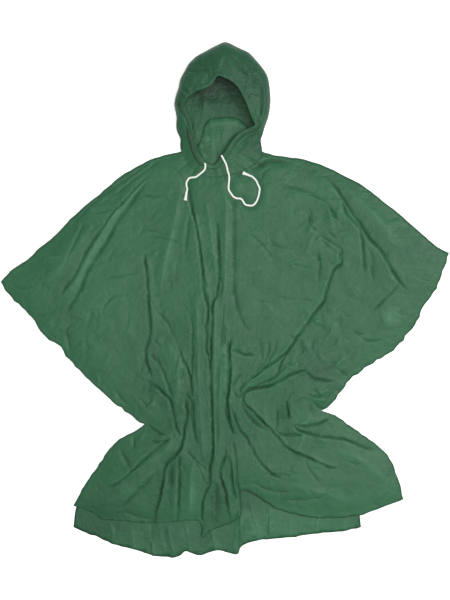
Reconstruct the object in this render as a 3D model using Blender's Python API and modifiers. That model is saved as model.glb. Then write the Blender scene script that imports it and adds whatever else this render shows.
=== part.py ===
"""Hooded rain poncho of thin PVC sheet, laid out flat on its back with its face up.

The front panel lies on the back panel, the hood lies open above them and the two free ends of its drawcord
lie on the chest. Tables are in millimetres: x to the right, y towards the hood, both from the middle of the
outline, and z up from the surface that the poncho lies on. Meshes are made in metres.
"""

import bpy
import numpy as np
from mathutils import Vector

MILLIMETRE = 0.001

# Driving dimensions, in millimetres.
WALL = 1.4               # every cloth wall
SEAM_GAP = 0.3           # between two pieces along a seam, in plan
LAYER_GAP = 0.3          # between the back panel and what lies on it
COVER = 2.0              # how much higher the front panel rises than a fold of the back panel under it
SIDE_INSET = 5.0         # the back panel's side edges lie this far inside the front panel's
SHOULDER_INSET = 1.5     # and its shoulder line this far below the front panel's
CORNER_GAP = 3.0         # between it and the hood at the two ends of the neckline
CORD_DIAMETER = 5.0
CORD_STEP = 11.0         # between the stations along a cord
END_GAP = 0.3            # between a cord and the plastic end on it

# Shoulder lines, from the tip of each wing up to the neck.
LEFT_SHOULDER = (
    (-560, 46), (-531, 77), (-494, 101), (-464, 130), (-438, 150), (-409, 178), (-388, 201), (-362, 224),
    (-330, 252), (-312, 266), (-269, 303), (-239, 323), (-188, 350), (-143, 364), (-113, 370), (-106, 376),
)
RIGHT_SHOULDER = (
    (560, 118), (529, 134), (489, 168), (438, 213), (388, 253), (338, 290), (288, 316), (239, 339),
    (188, 354), (163, 357), (125, 362), (96, 370), (90, 374),
)

# Side edges, from the tip of each wing in to the gathered waist and out again to the corner of the hem.
LEFT_WING_EDGE = (
    (-560, 46), (-541, 15), (-519, -8), (-487, -39), (-463, -75), (-439, -98), (-414, -114), (-397, -141),
    (-359, -178), (-326, -213), (-288, -247), (-243, -282), (-215, -302), (-200, -309),
)
LEFT_SKIRT_EDGE = (
    (-213, -319), (-269, -351), (-288, -372), (-313, -407), (-339, -444), (-364, -486), (-379, -513),
)
RIGHT_WING_EDGE = (
    (560, 118), (553, 97), (540, 58), (523, 20), (491, -22), (479, -54), (444, -100), (418, -126),
    (378, -152), (320, -191), (298, -216), (274, -248), (256, -266), (240, -275),
)
RIGHT_SKIRT_EDGE = (
    (275, -287), (312, -313), (362, -349), (388, -369), (413, -399), (433, -449), (446, -497),
)

# The front hem, stepped where two deep folds run off it.
FRONT_HEM = (
    (-379, -513), (-325, -532), (-305, -547), (-262, -551), (-188, -557), (-118, -552), (-64, -552),
    (-57, -594), (-40, -579), (-8, -564), (30, -548), (41, -527), (40, -479), (62, -478), (100, -502),
    (132, -521), (188, -537), (238, -544), (332, -538), (388, -520), (446, -497),
)

# The back panel under the skirt: its own corners and hem, which show below the front hem.
BACK_LEFT_EDGE = ((-232, -345), (-318, -440), (-368, -508), (-379, -567))
BACK_RIGHT_EDGE = ((262, -310), (300, -400), (330, -490), (340, -567))
BACK_HEM = (
    (-379, -567), (-340, -586), (-320, -591), (-282, -609), (-238, -620), (-212, -628), (-175, -639),
    (-125, -642), (-95, -628), (-62, -638), (-18, -626), (30, -635), (43, -615), (92, -599), (162, -593),
    (228, -584), (288, -578), (340, -567),
)

# The hood, a row for each section out from the face opening, clockwise from the throat.
# face_x, face_y: edge of the opening; face_z: its height; rim_x, rim_y: outline, or neckline where neck is 1.
HOOD_COLUMNS = ("face_x", "face_y", "face_z", "rim_x", "rim_y", "neck")
HOOD_SECTIONS = (
    (-30, 336, 15, -34, 312, 1),
    (-48, 342, 17, -62, 320, 1),
    (-60, 356, 19, -82, 336, 1),
    (-69, 373, 22, -96, 355, 1),
    (-74, 391, 25, -106, 376, 1),
    (-79, 413, 27, -112, 401, 0),
    (-84, 436, 28, -121, 426, 0),
    (-91, 457, 30, -122, 456, 0),
    (-100, 476, 32, -126, 481, 0),
    (-99, 491, 36, -123, 503, 0),
    (-88, 506, 40, -117, 526, 0),
    (-70, 517, 42, -110, 553, 0),
    (-52, 523, 44, -93, 584, 0),
    (-35, 531, 47, -76, 604, 0),
    (-26, 542, 49, -50, 618, 0),
    (-18, 553, 51, -22, 633, 0),
    (-2, 549, 52, 2, 642, 0),
    (15, 541, 51, 31, 630, 0),
    (30, 528, 49, 63, 613, 0),
    (42, 509, 47, 91, 583, 0),
    (52, 489, 45, 108, 551, 0),
    (60, 468, 42, 113, 501, 0),
    (68, 448, 39, 110, 461, 0),
    (74, 434, 35, 99, 428, 0),
    (55, 424, 33, 90, 403, 0),
    (35, 413, 30, 90, 374, 1),
    (18, 396, 26, 82, 357, 1),
    (5, 376, 23, 68, 341, 1),
    (-8, 358, 19, 42, 326, 1),
    (-19, 344, 16, 6, 316, 1),
)
HOOD_SIDE_HEIGHT = 17.0      # height of the hood's widest ring
HOOD_FULLNESS = 2.3          # exponent of the curve from that ring up to the opening
HOOD_CENTRE = (-8, 545)      # where the rings of the hood's back close
HOOD_FRONT_RINGS = (0.0, 0.1, 0.28, 0.48, 0.68, 0.85, 0.96, 1.0)    # share of the way from opening to outline
HOOD_UNDER_RINGS = ((2.0, 0.55), (6.0, 0.2), (13.0, 0.0))           # inset, share of the side height
HOOD_BACK_RINGS = (0.35, 0.7)                                       # share of the way on to the centre
HOOD_STATIONS = 2            # stations for each row of the table
NECK_EASE = 6                # stations over which the hood's round side flattens into the neckline
CORNER_EASE = 3              # stations over which that gap narrows to the seam's

# The neckline behind, where the back panel runs up inside the hood to the seam across its back.
BACK_NECKLINE = (
    (-106, 376), (-88, 396), (-66, 425), (-43, 448), (-22, 455), (0, 457), (20, 455), (38, 446), (60, 412),
    (77, 388), (90, 374),
)

# Broad swells of the front panel, where air and gathered cloth lift it off the back panel.
SWELL_COLUMNS = ("x", "y", "reach_x", "reach_y", "height")
SWELLS = (
    (-10, 320, 130, 70, 7),
    (0, 150, 260, 150, 6),
    (-380, 60, 130, 130, 4),
    (380, 60, 130, 130, 4),
    (-20, -150, 120, 150, 9),
    (190, -230, 90, 80, 9),
    (-180, -400, 130, 90, 8),
    (0, -430, 150, 130, 9),
    (220, -430, 160, 90, 7),
)

# Folds of the front panel: three points on each spine, half its width, its height (a hollow is negative).
FOLD_COLUMNS = ("start_x", "start_y", "middle_x", "middle_y", "end_x", "end_y", "half_width", "height")
WING_FOLDS = (
    (-195, 295, -292, 178, -400, 0, 26, 8),
    (-188, 343, -282, 276, -375, 196, 18, -4),
    (-338, 196, -375, 126, -450, 38, 20, 4),
    (-120, 240, -200, 110, -260, -60, 30, 3),
    (262, 322, 372, 195, 482, 58, 24, 7),
    (288, 238, 338, 158, 352, 56, 18, -4),
    (300, 150, 350, 40, 370, -60, 26, 4),
)
CHEST_FOLDS = (
    (-205, 101, -190, -24, -192, -124, 11, -4),
    (-162, 113, -155, -24, -158, -112, 13, 4),
    (-122, 263, -132, 176, -142, 101, 14, 3),
    (-88, 288, -62, 138, -45, -29, 11, -6),
    (-95, 213, -95, 151, -105, 96, 10, -3),
    (-18, 213, -10, 63, -30, -62, 9, -4),
    (-50, 251, -38, 126, -30, 1, 10, 4),
    (2, 276, 2, 151, -2, 1, 10, 4),
    (18, 238, 25, 138, 22, 26, 9, -3),
    (220, 138, 228, 96, 232, 41, 9, -3),
)
WAIST_FOLDS = (
    (-192, -112, -182, -174, -155, -227, 10, -4),
    (-155, -227, -130, -274, -112, -349, 10, -6),
    (-148, -124, -118, -184, -88, -254, 15, 8),
    (-112, -124, -88, -199, -70, -362, 8, -7),
    (-42, 1, -38, -212, -32, -437, 9, -8),
    (-70, -74, -68, -249, -60, -424, 8, 5),
    (-20, -74, -20, -249, -22, -437, 8, 6),
    (2, -87, 0, -249, -12, -424, 7, 7),
    (12, -94, 10, -249, -8, -429, 8, -9),
    (275, 83, 232, -24, 108, -164, 13, -6),
    (242, -69, 158, -162, 38, -229, 14, 9),
    (192, -172, 118, -212, 42, -254, 11, -8),
    (192, -204, 228, -219, 262, -224, 8, 6),
    (145, -237, 145, -274, 158, -309, 9, -9),
    (168, -244, 178, -274, 192, -299, 8, 6),
)
SKIRT_FOLDS = (
    (188, -329, 258, -327, 342, -342, 9, 5),
    (168, -314, 250, -342, 372, -372, 9, -6),
    (52, -254, 108, -312, 168, -377, 9, -7),
    (168, -377, 218, -402, 275, -427, 11, -5),
    (62, -294, 102, -342, 162, -404, 9, 5),
    (15, -274, 52, -349, 102, -432, 9, -7),
    (300, -374, 350, -404, 408, -449, 16, 4),
    (162, -454, 238, -479, 312, -499, 18, 4),
    (-98, -299, -108, -369, -150, -407, 10, -6),
    (-150, -407, -160, -499, -182, -637, 10, -8),
    (-130, -312, -188, -389, -298, -454, 13, 7),
    (-142, -357, -205, -404, -302, -459, 9, -6),
    (-168, -404, -218, -454, -282, -492, 12, 4),
    (-128, -404, -130, -499, -132, -612, 10, -6),
    (-85, -404, -82, -487, -82, -587, 12, 7),
    (-42, -449, -60, -517, -58, -619, 8, -9),
    (-10, -424, 0, -499, 18, -574, 8, -8),
    (20, -419, 22, -487, 28, -559, 7, 7),
)
BACK_FOLDS = (
    (-182, -560, -180, -600, -178, -660, 18, 4),
    (-20, -560, -15, -600, -8, -660, 18, 4),
    (60, -545, 75, -570, 90, -620, 16, 4),
    (228, -550, 232, -565, 238, -600, 18, 3),
)

# Drawcord ends: the route of each one's centre line, from the throat to the plastic end.
LEFT_CORD = (
    (-50, 341, 20.2), (-49, 334, 18.6), (-51, 325, 16.4), (-58, 318, 14.6), (-66, 312, 13.8), (-73, 307, 13.3),
    (-87, 305, 12.3), (-92, 301, 12.1), (-96, 293, 11.5), (-96, 284, 11.2), (-94, 277, 11.1), (-96, 270, 11.3),
)
LEFT_CORD_END = ((-96, 270, 11.3), (-99, 248, 13.7))
RIGHT_CORD = (
    (-9, 360, 22.6), (-3, 349, 20.6), (3, 337, 18.2), (6, 324, 16.2), (10, 310, 14.9), (10, 298, 14.7),
    (9, 286, 14.6), (9, 276, 14.4), (14, 267, 14.1), (21, 258, 13.3), (29, 254, 12.7), (39, 253, 12.5),
    (44, 248, 12.2), (50, 239, 12.0), (60, 236, 11.8), (70, 237, 11.6), (77, 244, 11.5), (82, 255, 11.5),
    (85, 267, 11.7), (86, 279, 11.8), (82, 288, 12.1), (78, 297, 12.4), (72, 304, 12.8), (67, 308, 13.2),
    (60, 311, 13.6),
)
RIGHT_CORD_END = ((60, 311, 13.6), (44, 317, 15.6))
# Plastic end: its radius, and the share of its length where it has that radius.
END_PROFILE = ((2.6, 0.0), (3.0, 0.08), (3.4, 0.45), (4.6, 0.85), (4.7, 0.95), (4.2, 1.0))
END_SIDES = 12

# How finely curves and meshes are divided.
CURVE_SPANS = 8              # straight pieces between two points of an edge
FOLD_POINTS = 33             # points along a fold's spine
FOLD_FADE = 0.04             # share of a fold's length at each end over which its height no longer falls
CORD_BEVEL = 2
SAME_POINT = 0.01            # points of a turned profile that lie closer than this are one
SHOULDER_COLUMNS_LEFT = 22
SHOULDER_COLUMNS_RIGHT = 18
FRONT_ROWS = 36
BACK_COLUMNS = 14            # along each shoulder
BACK_WING_ROWS = 10
BACK_HEM_ROWS = 7
BACK_HEM_DEPTH = 0.12        # share of the back panel's length that the closer rows take
CROWD = 0.45                 # how much closer the columns lie beside the neck than at the wing tips


def remove_everything():
    """Empty the scene that Blender starts with."""
    for thing in list(bpy.data.objects):
        bpy.data.objects.remove(thing, do_unlink=True)


def make_material(name, colour, roughness):
    """A plain Principled material."""
    material = bpy.data.materials.new(name)
    material.use_nodes = True
    shader = material.node_tree.nodes["Principled BSDF"]
    shader.inputs["Base Color"].default_value = (*colour, 1.0)
    shader.inputs["Roughness"].default_value = roughness
    return material


def catmull_rom(a, b, c, d, t):
    """The curve from b to c that runs smoothly on from a and to d, at shares t of the way."""
    return 0.5 * (2 * b + (c - a) * t + (2 * a - 5 * b + 4 * c - d) * t**2 + (3 * b - a - 3 * c + d) * t**3)


def smooth(points, shares):
    """Points at the given shares of the length of a Catmull-Rom curve through the given points."""
    p = np.array(points, dtype=float)
    p = np.vstack((2 * p[0] - p[1], p, 2 * p[-1] - p[-2]))
    t = np.linspace(0, 1, CURVE_SPANS + 1)[:-1, None]
    line = np.vstack((*(catmull_rom(*p[i:i + 4], t) for i in range(len(p) - 3)), p[-2]))
    length = np.concatenate(([0], np.cumsum(np.linalg.norm(np.diff(line, axis=0), axis=1))))
    return np.column_stack([np.interp(np.asarray(shares) * length[-1], length, column) for column in line.T])


def joined(first, second):
    """Two stretches of an edge as one list of points."""
    return tuple(first) + tuple(second)


def length_of(points):
    """Length of the line through the points."""
    return np.linalg.norm(np.diff(np.array(points, dtype=float), axis=0), axis=1).sum()


def blended_patch(top, bottom, left, right, across, down):
    """Coons patch: a grid whose four borders are the given rows of points, blended linearly between them.

    top and bottom have a point for each share in across, left and right one for each share in down.
    """
    u = across[None, :, None]
    v = down[:, None, None]
    corners = ((1 - u) * (1 - v) * top[0] + u * (1 - v) * top[-1] + (1 - u) * v * bottom[0] + u * v * bottom[-1])
    return (1 - v) * top[None] + v * bottom[None] + (1 - u) * left[:, None] + u * right[:, None] - corners


def relief(x, y, folds):
    """Height of the folds at x, y.

    Each fold is a rounded ridge along a curve through its three points: exp(-(distance / half width)^2) across it,
    fading in and out over its ends.
    """
    total = np.zeros_like(x)
    for row in folds:
        fold = dict(zip(FOLD_COLUMNS, row))
        start = np.array((fold["start_x"], fold["start_y"]), dtype=float)
        middle = np.array((fold["middle_x"], fold["middle_y"]), dtype=float)
        end = np.array((fold["end_x"], fold["end_y"]), dtype=float)
        handle = 2 * middle - 0.5 * (start + end)
        t = np.linspace(0, 1, FOLD_POINTS)
        spine = np.outer((1 - t)**2, start) + np.outer(2 * t * (1 - t), handle) + np.outer(t**2, end)
        away = np.hypot(x[..., None] - spine[:, 0], y[..., None] - spine[:, 1])
        nearest = away.argmin(axis=-1)
        strength = np.sqrt(np.sin(np.pi * np.clip(t, FOLD_FADE, 1 - FOLD_FADE)))
        across = away.min(axis=-1) / fold["half_width"]
        total += fold["height"] * strength[nearest] * np.exp(-across**2)
    return total


def swell(x, y):
    """Height of the broad swells at x, y: a rounded mound for each row of the table."""
    total = np.zeros_like(x)
    for row in SWELLS:
        mound = dict(zip(SWELL_COLUMNS, row))
        reach = ((x - mound["x"]) / mound["reach_x"])**2 + ((y - mound["y"]) / mound["reach_y"])**2
        total += mound["height"] * np.exp(-reach)
    return total


def back_height(x, y):
    """Top of the back panel."""
    return WALL + np.maximum(relief(x, y, BACK_FOLDS), 0)


def front_height(x, y):
    """Top of the front panel: never lower than where it touches the back panel."""
    rest = WALL + (back_height(x, y) - WALL) * COVER + LAYER_GAP + WALL
    folds = relief(x, y, WING_FOLDS + CHEST_FOLDS + WAIST_FOLDS + SKIRT_FOLDS)
    return rest + np.maximum(swell(x, y) + folds, 0)


def moved_out(points, distance):
    """The points moved to the left of the way that they run, in plan."""
    along = np.gradient(points, axis=0)
    normal = np.column_stack((-along[:, 1], along[:, 0]))
    return points + distance * normal / np.linalg.norm(normal, axis=1)[:, None]


def crowded(count, near_end):
    """Shares from 0 to 1 that lie closer together towards the end given."""
    k = np.linspace(0, 1, count + 1)
    shares = k * (1 + CROWD - CROWD * k)
    return shares if near_end else 1 - shares[::-1]


def make_object(name, points, faces, material, thickness=0.0):
    """An object in the poncho's collection from points in millimetres; an open sheet gets its wall inwards."""
    mesh = bpy.data.meshes.new(name)
    mesh.from_pydata((np.asarray(points) * MILLIMETRE).tolist(), [], [list(map(int, face)) for face in faces])
    mesh.materials.append(material)
    mesh.shade_smooth()
    thing = bpy.data.objects.new(name, mesh)
    poncho.objects.link(thing)
    if thickness:
        wall = thing.modifiers.new("wall", "SOLIDIFY")
        wall.thickness = thickness * MILLIMETRE
        wall.offset = -1
    return thing


def grid_faces(rows, columns):
    """Squares of a grid of points stored row by row, top row first, facing up."""
    corner = np.arange(rows * columns).reshape(rows, columns)
    around = (corner[1:, :-1], corner[1:, 1:], corner[:-1, 1:], corner[:-1, :-1])
    return np.column_stack([index.ravel() for index in around])


def hood_sections():
    """Edge of the opening with its height, outline, and whether it is the neckline, at every station."""
    rows = np.array(HOOD_SECTIONS, dtype=float)
    station = np.arange(len(rows) * HOOD_STATIONS) / HOOD_STATIONS
    row = station.astype(int)
    before, here, following, after = (rows[(row + step) % len(rows)] for step in (-1, 0, 1, 2))
    section = dict(zip(HOOD_COLUMNS, catmull_rom(before, here, following, after, (station - row)[:, None]).T))
    is_neck = HOOD_COLUMNS.index("neck")
    neck = (here[:, is_neck] > 0) & ((following[:, is_neck] > 0) | (station == row))
    face = np.column_stack((section["face_x"], section["face_y"]))
    rim = np.column_stack((section["rim_x"], section["rim_y"]))
    return face, section["face_z"], rim, neck


def neck_stations():
    """Stations of the hood over the neck, from the left end of the shoulders, under the throat, to the right."""
    neck = hood_sections()[3]
    first = np.flatnonzero(neck & ~np.roll(neck, 1))[0]
    return ((first + np.arange(neck.sum())) % len(neck))[::-1]


def neckline():
    """Points of the front neckline at those stations."""
    return hood_sections()[2][neck_stations()]


def back_neckline():
    """As many points of the neckline behind, from left to right."""
    return smooth(BACK_NECKLINE, np.linspace(0, 1, len(neck_stations())))


def back_neck_edge():
    """The back panel's edge along that line: a seam's gap from it, and more where the hood's sides stand up."""
    line = back_neckline()
    from_corner = np.minimum(np.arange(len(line)), np.arange(len(line))[::-1])
    gap = SEAM_GAP + (CORNER_GAP - SEAM_GAP) * np.clip(1 - from_corner / CORNER_EASE, 0, 1)
    return moved_out(line, -gap[:, None])


def build_back_panel(material):
    """The half of the body sheet that lies on the surface, its underside flat but for the folds at its hem."""
    left = joined(np.array(LEFT_WING_EDGE) + (SIDE_INSET, 0), BACK_LEFT_EDGE)
    right = joined(np.array(RIGHT_WING_EDGE) - (SIDE_INSET, 0), BACK_RIGHT_EDGE)
    left_shoulder = np.vstack((left[:1], np.array(LEFT_SHOULDER[1:]) - (0, SHOULDER_INSET)))
    right_shoulder = np.vstack((np.array(RIGHT_SHOULDER[:0:-1]) - (0, SHOULDER_INSET), right[:1]))
    left_top = smooth(left_shoulder, np.linspace(0, 1, BACK_COLUMNS + 1))
    right_top = smooth(right_shoulder, np.linspace(0, 1, BACK_COLUMNS + 1))
    top = np.vstack((left_top[:-1], back_neck_edge(), right_top[1:]))
    length = np.concatenate(([0], np.cumsum(np.linalg.norm(np.diff(top, axis=0), axis=1))))
    across = length / length[-1]
    down = np.concatenate((np.linspace(0, 1 - BACK_HEM_DEPTH, BACK_WING_ROWS + 1),
                           np.linspace(1 - BACK_HEM_DEPTH, 1, BACK_HEM_ROWS + 1)[1:]))
    sheet = blended_patch(top, smooth(BACK_HEM, across), smooth(left, down), smooth(right, down), across, down)
    x, y = sheet[..., 0], sheet[..., 1]
    points = np.stack((x, y, back_height(x, y)), axis=-1).reshape(-1, 3)
    return make_object("back_panel", points, grid_faces(len(down), len(across)), material, WALL)


def build_front_panel(material):
    """The half of the body sheet that lies on the back panel, with its folds."""
    line = moved_out(neckline(), -SEAM_GAP)
    left_top = smooth(LEFT_SHOULDER, crowded(SHOULDER_COLUMNS_LEFT, True))
    right_top = smooth(RIGHT_SHOULDER[::-1], crowded(SHOULDER_COLUMNS_RIGHT, False))
    top = np.vstack((left_top[:-1], line, right_top[1:]))
    length = np.concatenate(([0], np.cumsum(np.linalg.norm(np.diff(top, axis=0), axis=1))))
    across = length / length[-1]
    down = np.linspace(0, 1, FRONT_ROWS + 1)
    left = smooth(joined(LEFT_WING_EDGE, LEFT_SKIRT_EDGE), down)
    right = smooth(joined(RIGHT_WING_EDGE, RIGHT_SKIRT_EDGE), down)
    sheet = blended_patch(top, smooth(FRONT_HEM, across), left, right, across, down)
    x, y = sheet[..., 0], sheet[..., 1]
    points = np.stack((x, y, front_height(x, y)), axis=-1).reshape(-1, 3)
    return make_object("front_panel", points, grid_faces(len(down), len(across)), material, WALL)


def build_hood(material):
    """The hood: rings from the face opening out to the outline, round it and in to the centre of its back.

    Over the neck the rings stop at the neckline in front and start again at the neckline behind, so the hood
    is open into the body.
    """
    face, face_z, rim, neck = hood_sections()
    count = len(face)
    centre = np.array(HOOD_CENTRE, dtype=float)
    neck_z = front_height(rim[:, 0], rim[:, 1])
    order = neck_stations()
    behind = rim.copy()
    behind[order] = back_neckline()
    from_neck = np.abs(np.arange(count)[:, None] - order).min(axis=1)
    flatness = np.clip(1 - from_neck / NECK_EASE, 0, 1)
    rings = []
    for share in HOOD_FRONT_RINGS:
        plan = face + (rim - face) * share
        round_z = HOOD_SIDE_HEIGHT + (face_z - HOOD_SIDE_HEIGHT) * (1 - share**HOOD_FULLNESS)**(1 / HOOD_FULLNESS)
        flat_z = neck_z + (face_z - neck_z) * (1 - share)
        rings.append(np.column_stack((plan, round_z + (flat_z - round_z) * flatness)))
    side_z = rings[-1][:, 2]
    inward = (centre - behind) / np.linalg.norm(centre - behind, axis=1)[:, None]
    for inset, share in HOOD_UNDER_RINGS:
        step = np.where(neck, inset - HOOD_UNDER_RINGS[0][0], inset)[:, None]
        rings.append(np.column_stack((behind + inward * step, np.where(neck, 0.0, side_z * share))))
    last = rings[-1][:, :2]
    for share in HOOD_BACK_RINGS:
        rings.append(np.column_stack((last + (centre - last) * share, np.zeros(count))))
    points = np.vstack((*rings, (*centre, 0.0)))
    faces = []
    for ring in range(len(rings) - 1):
        for station in range(count):
            following = (station + 1) % count
            if ring == len(HOOD_FRONT_RINGS) - 1 and neck[station] and neck[following]:
                continue
            a, b = ring * count + station, ring * count + following
            faces.append((a, b, b + count, a + count))
    pole = len(points) - 1
    first = (len(rings) - 1) * count
    faces += [(first + station, first + (station + 1) % count, pole) for station in range(count)]
    return make_object("hood", points, faces, material, WALL)


def build_cord(name, route, material):
    """A cord end: a round tube along a smooth curve through its route."""
    steps = round(length_of(route) / CORD_STEP)
    stations = smooth(route, np.linspace(0, 1, steps + 1)) * MILLIMETRE
    curve = bpy.data.curves.new(name, "CURVE")
    curve.dimensions = "3D"
    curve.bevel_depth = CORD_DIAMETER / 2 * MILLIMETRE
    curve.bevel_resolution = CORD_BEVEL
    curve.use_fill_caps = True
    spline = curve.splines.new("POLY")
    spline.points.add(len(stations) - 1)
    spline.points.foreach_set("co", np.column_stack((stations, np.ones(len(stations)))).ravel())
    curve.materials.append(material)
    thing = bpy.data.objects.new(name, curve)
    poncho.objects.link(thing)
    return thing


def build_cord_end(name, place, material):
    """The bell-shaped plastic end of a cord: a profile turned about the cord's line."""
    start, stop = (Vector(point) * MILLIMETRE for point in place)
    direction = (stop - start).normalized()
    length = (stop - start).length - END_GAP * MILLIMETRE
    profile = [(0.0, 0.0, 0.0)]
    profile += [(radius * MILLIMETRE, 0.0, -along * length) for radius, along in END_PROFILE]
    profile.append((0.0, 0.0, -length))
    mesh = bpy.data.meshes.new(name)
    mesh.from_pydata(profile, [(i, i + 1) for i in range(len(profile) - 1)], [])
    mesh.materials.append(material)
    thing = bpy.data.objects.new(name, mesh)
    turn = thing.modifiers.new("turned", "SCREW")
    turn.steps = turn.render_steps = END_SIDES
    turn.use_merge_vertices = True
    turn.merge_threshold = SAME_POINT * MILLIMETRE
    thing.location = start + direction * END_GAP * MILLIMETRE
    thing.rotation_mode = "QUATERNION"
    thing.rotation_quaternion = (-direction).to_track_quat("Z", "Y")
    poncho.objects.link(thing)
    return thing


remove_everything()
poncho = bpy.data.collections.new("rain_poncho")
bpy.context.scene.collection.children.link(poncho)
sheet_pvc = make_material("green_pvc_sheet", (0.057, 0.143, 0.080), 0.5)
cord_cotton = make_material("white_braided_cord", (0.80, 0.80, 0.77), 0.85)
end_plastic = make_material("white_plastic_end", (0.82, 0.82, 0.80), 0.4)

build_back_panel(sheet_pvc)
build_front_panel(sheet_pvc)
build_hood(sheet_pvc)
build_cord("cord_left", LEFT_CORD, cord_cotton)
build_cord_end("cord_left_end", LEFT_CORD_END, end_plastic)
build_cord("cord_right", RIGHT_CORD, cord_cotton)
build_cord_end("cord_right_end", RIGHT_CORD_END, end_plastic)
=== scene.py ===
"""Rain poncho of thin green PVC sheet, laid out flat on its back, with the ends of its drawcord on the chest.

x runs to the right across the shoulders, y from the hem to the hood and z up from the surface under it.
"""

import bpy
import numpy as np
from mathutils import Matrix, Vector
from mathutils.geometry import delaunay_2d_cdt


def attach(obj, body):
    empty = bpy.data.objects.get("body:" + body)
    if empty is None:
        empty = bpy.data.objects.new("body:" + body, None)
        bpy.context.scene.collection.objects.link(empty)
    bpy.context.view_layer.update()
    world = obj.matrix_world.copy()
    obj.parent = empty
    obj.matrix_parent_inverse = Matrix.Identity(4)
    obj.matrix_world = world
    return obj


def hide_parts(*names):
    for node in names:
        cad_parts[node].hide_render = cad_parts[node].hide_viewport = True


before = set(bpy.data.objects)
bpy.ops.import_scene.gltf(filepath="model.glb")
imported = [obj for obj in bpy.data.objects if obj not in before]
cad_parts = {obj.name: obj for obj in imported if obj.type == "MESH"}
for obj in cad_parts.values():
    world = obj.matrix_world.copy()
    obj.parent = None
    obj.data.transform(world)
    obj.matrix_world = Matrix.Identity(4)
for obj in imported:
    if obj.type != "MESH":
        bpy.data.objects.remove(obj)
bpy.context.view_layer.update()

# ----------------------------------------------------------------------------------------------------------
# Camera, straight above the middle of the laid-out poncho.
# ----------------------------------------------------------------------------------------------------------
LENS = 85.0                  # mm, on a 36 mm sensor along the picture's height
SENSOR = 36.0
PICTURE_HEIGHT = 1.5         # metres of the surface that the picture's height takes in
PICTURE_MIDDLE = 0.0006      # metres, y of the picture's middle

camera_data = bpy.data.cameras.new("overhead")
camera_data.lens = LENS
camera_data.sensor_width = SENSOR
camera = bpy.data.objects.new("overhead", camera_data)
camera.location = (0.0, PICTURE_MIDDLE, PICTURE_HEIGHT * LENS / SENSOR)
bpy.context.scene.collection.objects.link(camera)
bpy.context.scene.camera = camera

# ----------------------------------------------------------------------------------------------------------
# Drawcord: one braided cord runs in the hood's casing, and its two free ends come out at the throat and lie
# on the chest. Each ends in a small bell of white plastic, pressed on.
# ----------------------------------------------------------------------------------------------------------
MM = 0.001
CORD = 5.0                   # diameter, mm
LEFT_CORD = (                # centre lines in metres, from the throat to the plastic end
    (-0.050, 0.341, 0.0202), (-0.049, 0.334, 0.0186), (-0.051, 0.325, 0.0164), (-0.058, 0.318, 0.0146),
    (-0.066, 0.312, 0.0138), (-0.073, 0.307, 0.0133), (-0.087, 0.305, 0.0123), (-0.092, 0.301, 0.0121),
    (-0.096, 0.293, 0.0115), (-0.096, 0.284, 0.0112), (-0.094, 0.277, 0.0111), (-0.096, 0.270, 0.0113),
)
RIGHT_CORD = (
    (-0.009, 0.360, 0.0226), (-0.003, 0.349, 0.0206), (0.003, 0.337, 0.0182), (0.006, 0.324, 0.0162),
    (0.010, 0.310, 0.0149), (0.010, 0.298, 0.0147), (0.009, 0.286, 0.0146), (0.009, 0.276, 0.0144),
    (0.014, 0.267, 0.0141), (0.021, 0.258, 0.0133), (0.029, 0.254, 0.0127), (0.039, 0.253, 0.0125),
    (0.044, 0.248, 0.0122), (0.050, 0.239, 0.0120), (0.060, 0.236, 0.0118), (0.070, 0.237, 0.0116),
    (0.077, 0.244, 0.0115), (0.082, 0.255, 0.0115), (0.085, 0.267, 0.0117), (0.086, 0.279, 0.0118),
    (0.082, 0.288, 0.0121), (0.078, 0.297, 0.0124), (0.072, 0.304, 0.0128), (0.067, 0.308, 0.0132),
    (0.060, 0.311, 0.0136),
)
LEFT_BELL = ((-0.096, 0.270, 0.0113), (-0.099, 0.248, 0.0137))
RIGHT_BELL = ((0.060, 0.311, 0.0136), (0.044, 0.317, 0.0156))
BELL = (                     # radius of the plastic end in mm, share of its length
    (0.4, 0.0), (2.7, 0.0), (3.0, 0.03), (3.1, 0.09), (2.9, 0.13), (3.0, 0.22), (3.2, 0.4), (3.6, 0.58),
    (4.1, 0.74), (4.5, 0.87), (4.7, 0.95), (4.6, 0.99), (4.3, 1.0), (3.9, 0.985), (3.6, 0.93), (3.1, 0.84),
    (0.4, 0.8),
)
STRANDS = 5                  # strands that wind each way round the braid
STRAND_PITCH = 15.0          # mm along the cord for one turn of a strand
FURROW = 0.13                # depth of the furrows between strands, as a share of the cord's radius
CROSSING = 0.2               # how far a strand rises over and sinks under another, as a share of that depth
STATION = 0.55               # mm between stations of the braid
AROUND = 30                  # points round it
BELL_AROUND = 40             # points round a bell


def catmull_rom(a, b, c, d, t):
    """The curve from b to c that runs smoothly on from a and to d, at shares t of the way."""
    return 0.5 * (2 * b + (c - a) * t + (2 * a - 5 * b + 4 * c - d) * t**2 + (3 * b - a - 3 * c + d) * t**3)


def smooth(points, shares, spans=8):
    """Points at the given shares of the length of a Catmull-Rom curve through the given points."""
    p = np.array(points, dtype=float)
    p = np.vstack((2 * p[0] - p[1], p, 2 * p[-1] - p[-2]))
    t = np.linspace(0, 1, spans + 1)[:-1, None]
    line = np.vstack((*(catmull_rom(*p[i:i + 4], t) for i in range(len(p) - 3)), p[-2]))
    length = np.concatenate(([0], np.cumsum(np.linalg.norm(np.diff(line, axis=0), axis=1))))
    return np.column_stack([np.interp(np.asarray(shares) * length[-1], length, column) for column in line.T])


def length_of(points):
    """Length of the line through the points."""
    return np.linalg.norm(np.diff(np.array(points, dtype=float), axis=0), axis=1).sum()


def unit(vectors):
    """The vectors at length one."""
    return vectors / np.linalg.norm(vectors, axis=-1, keepdims=True)


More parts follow.
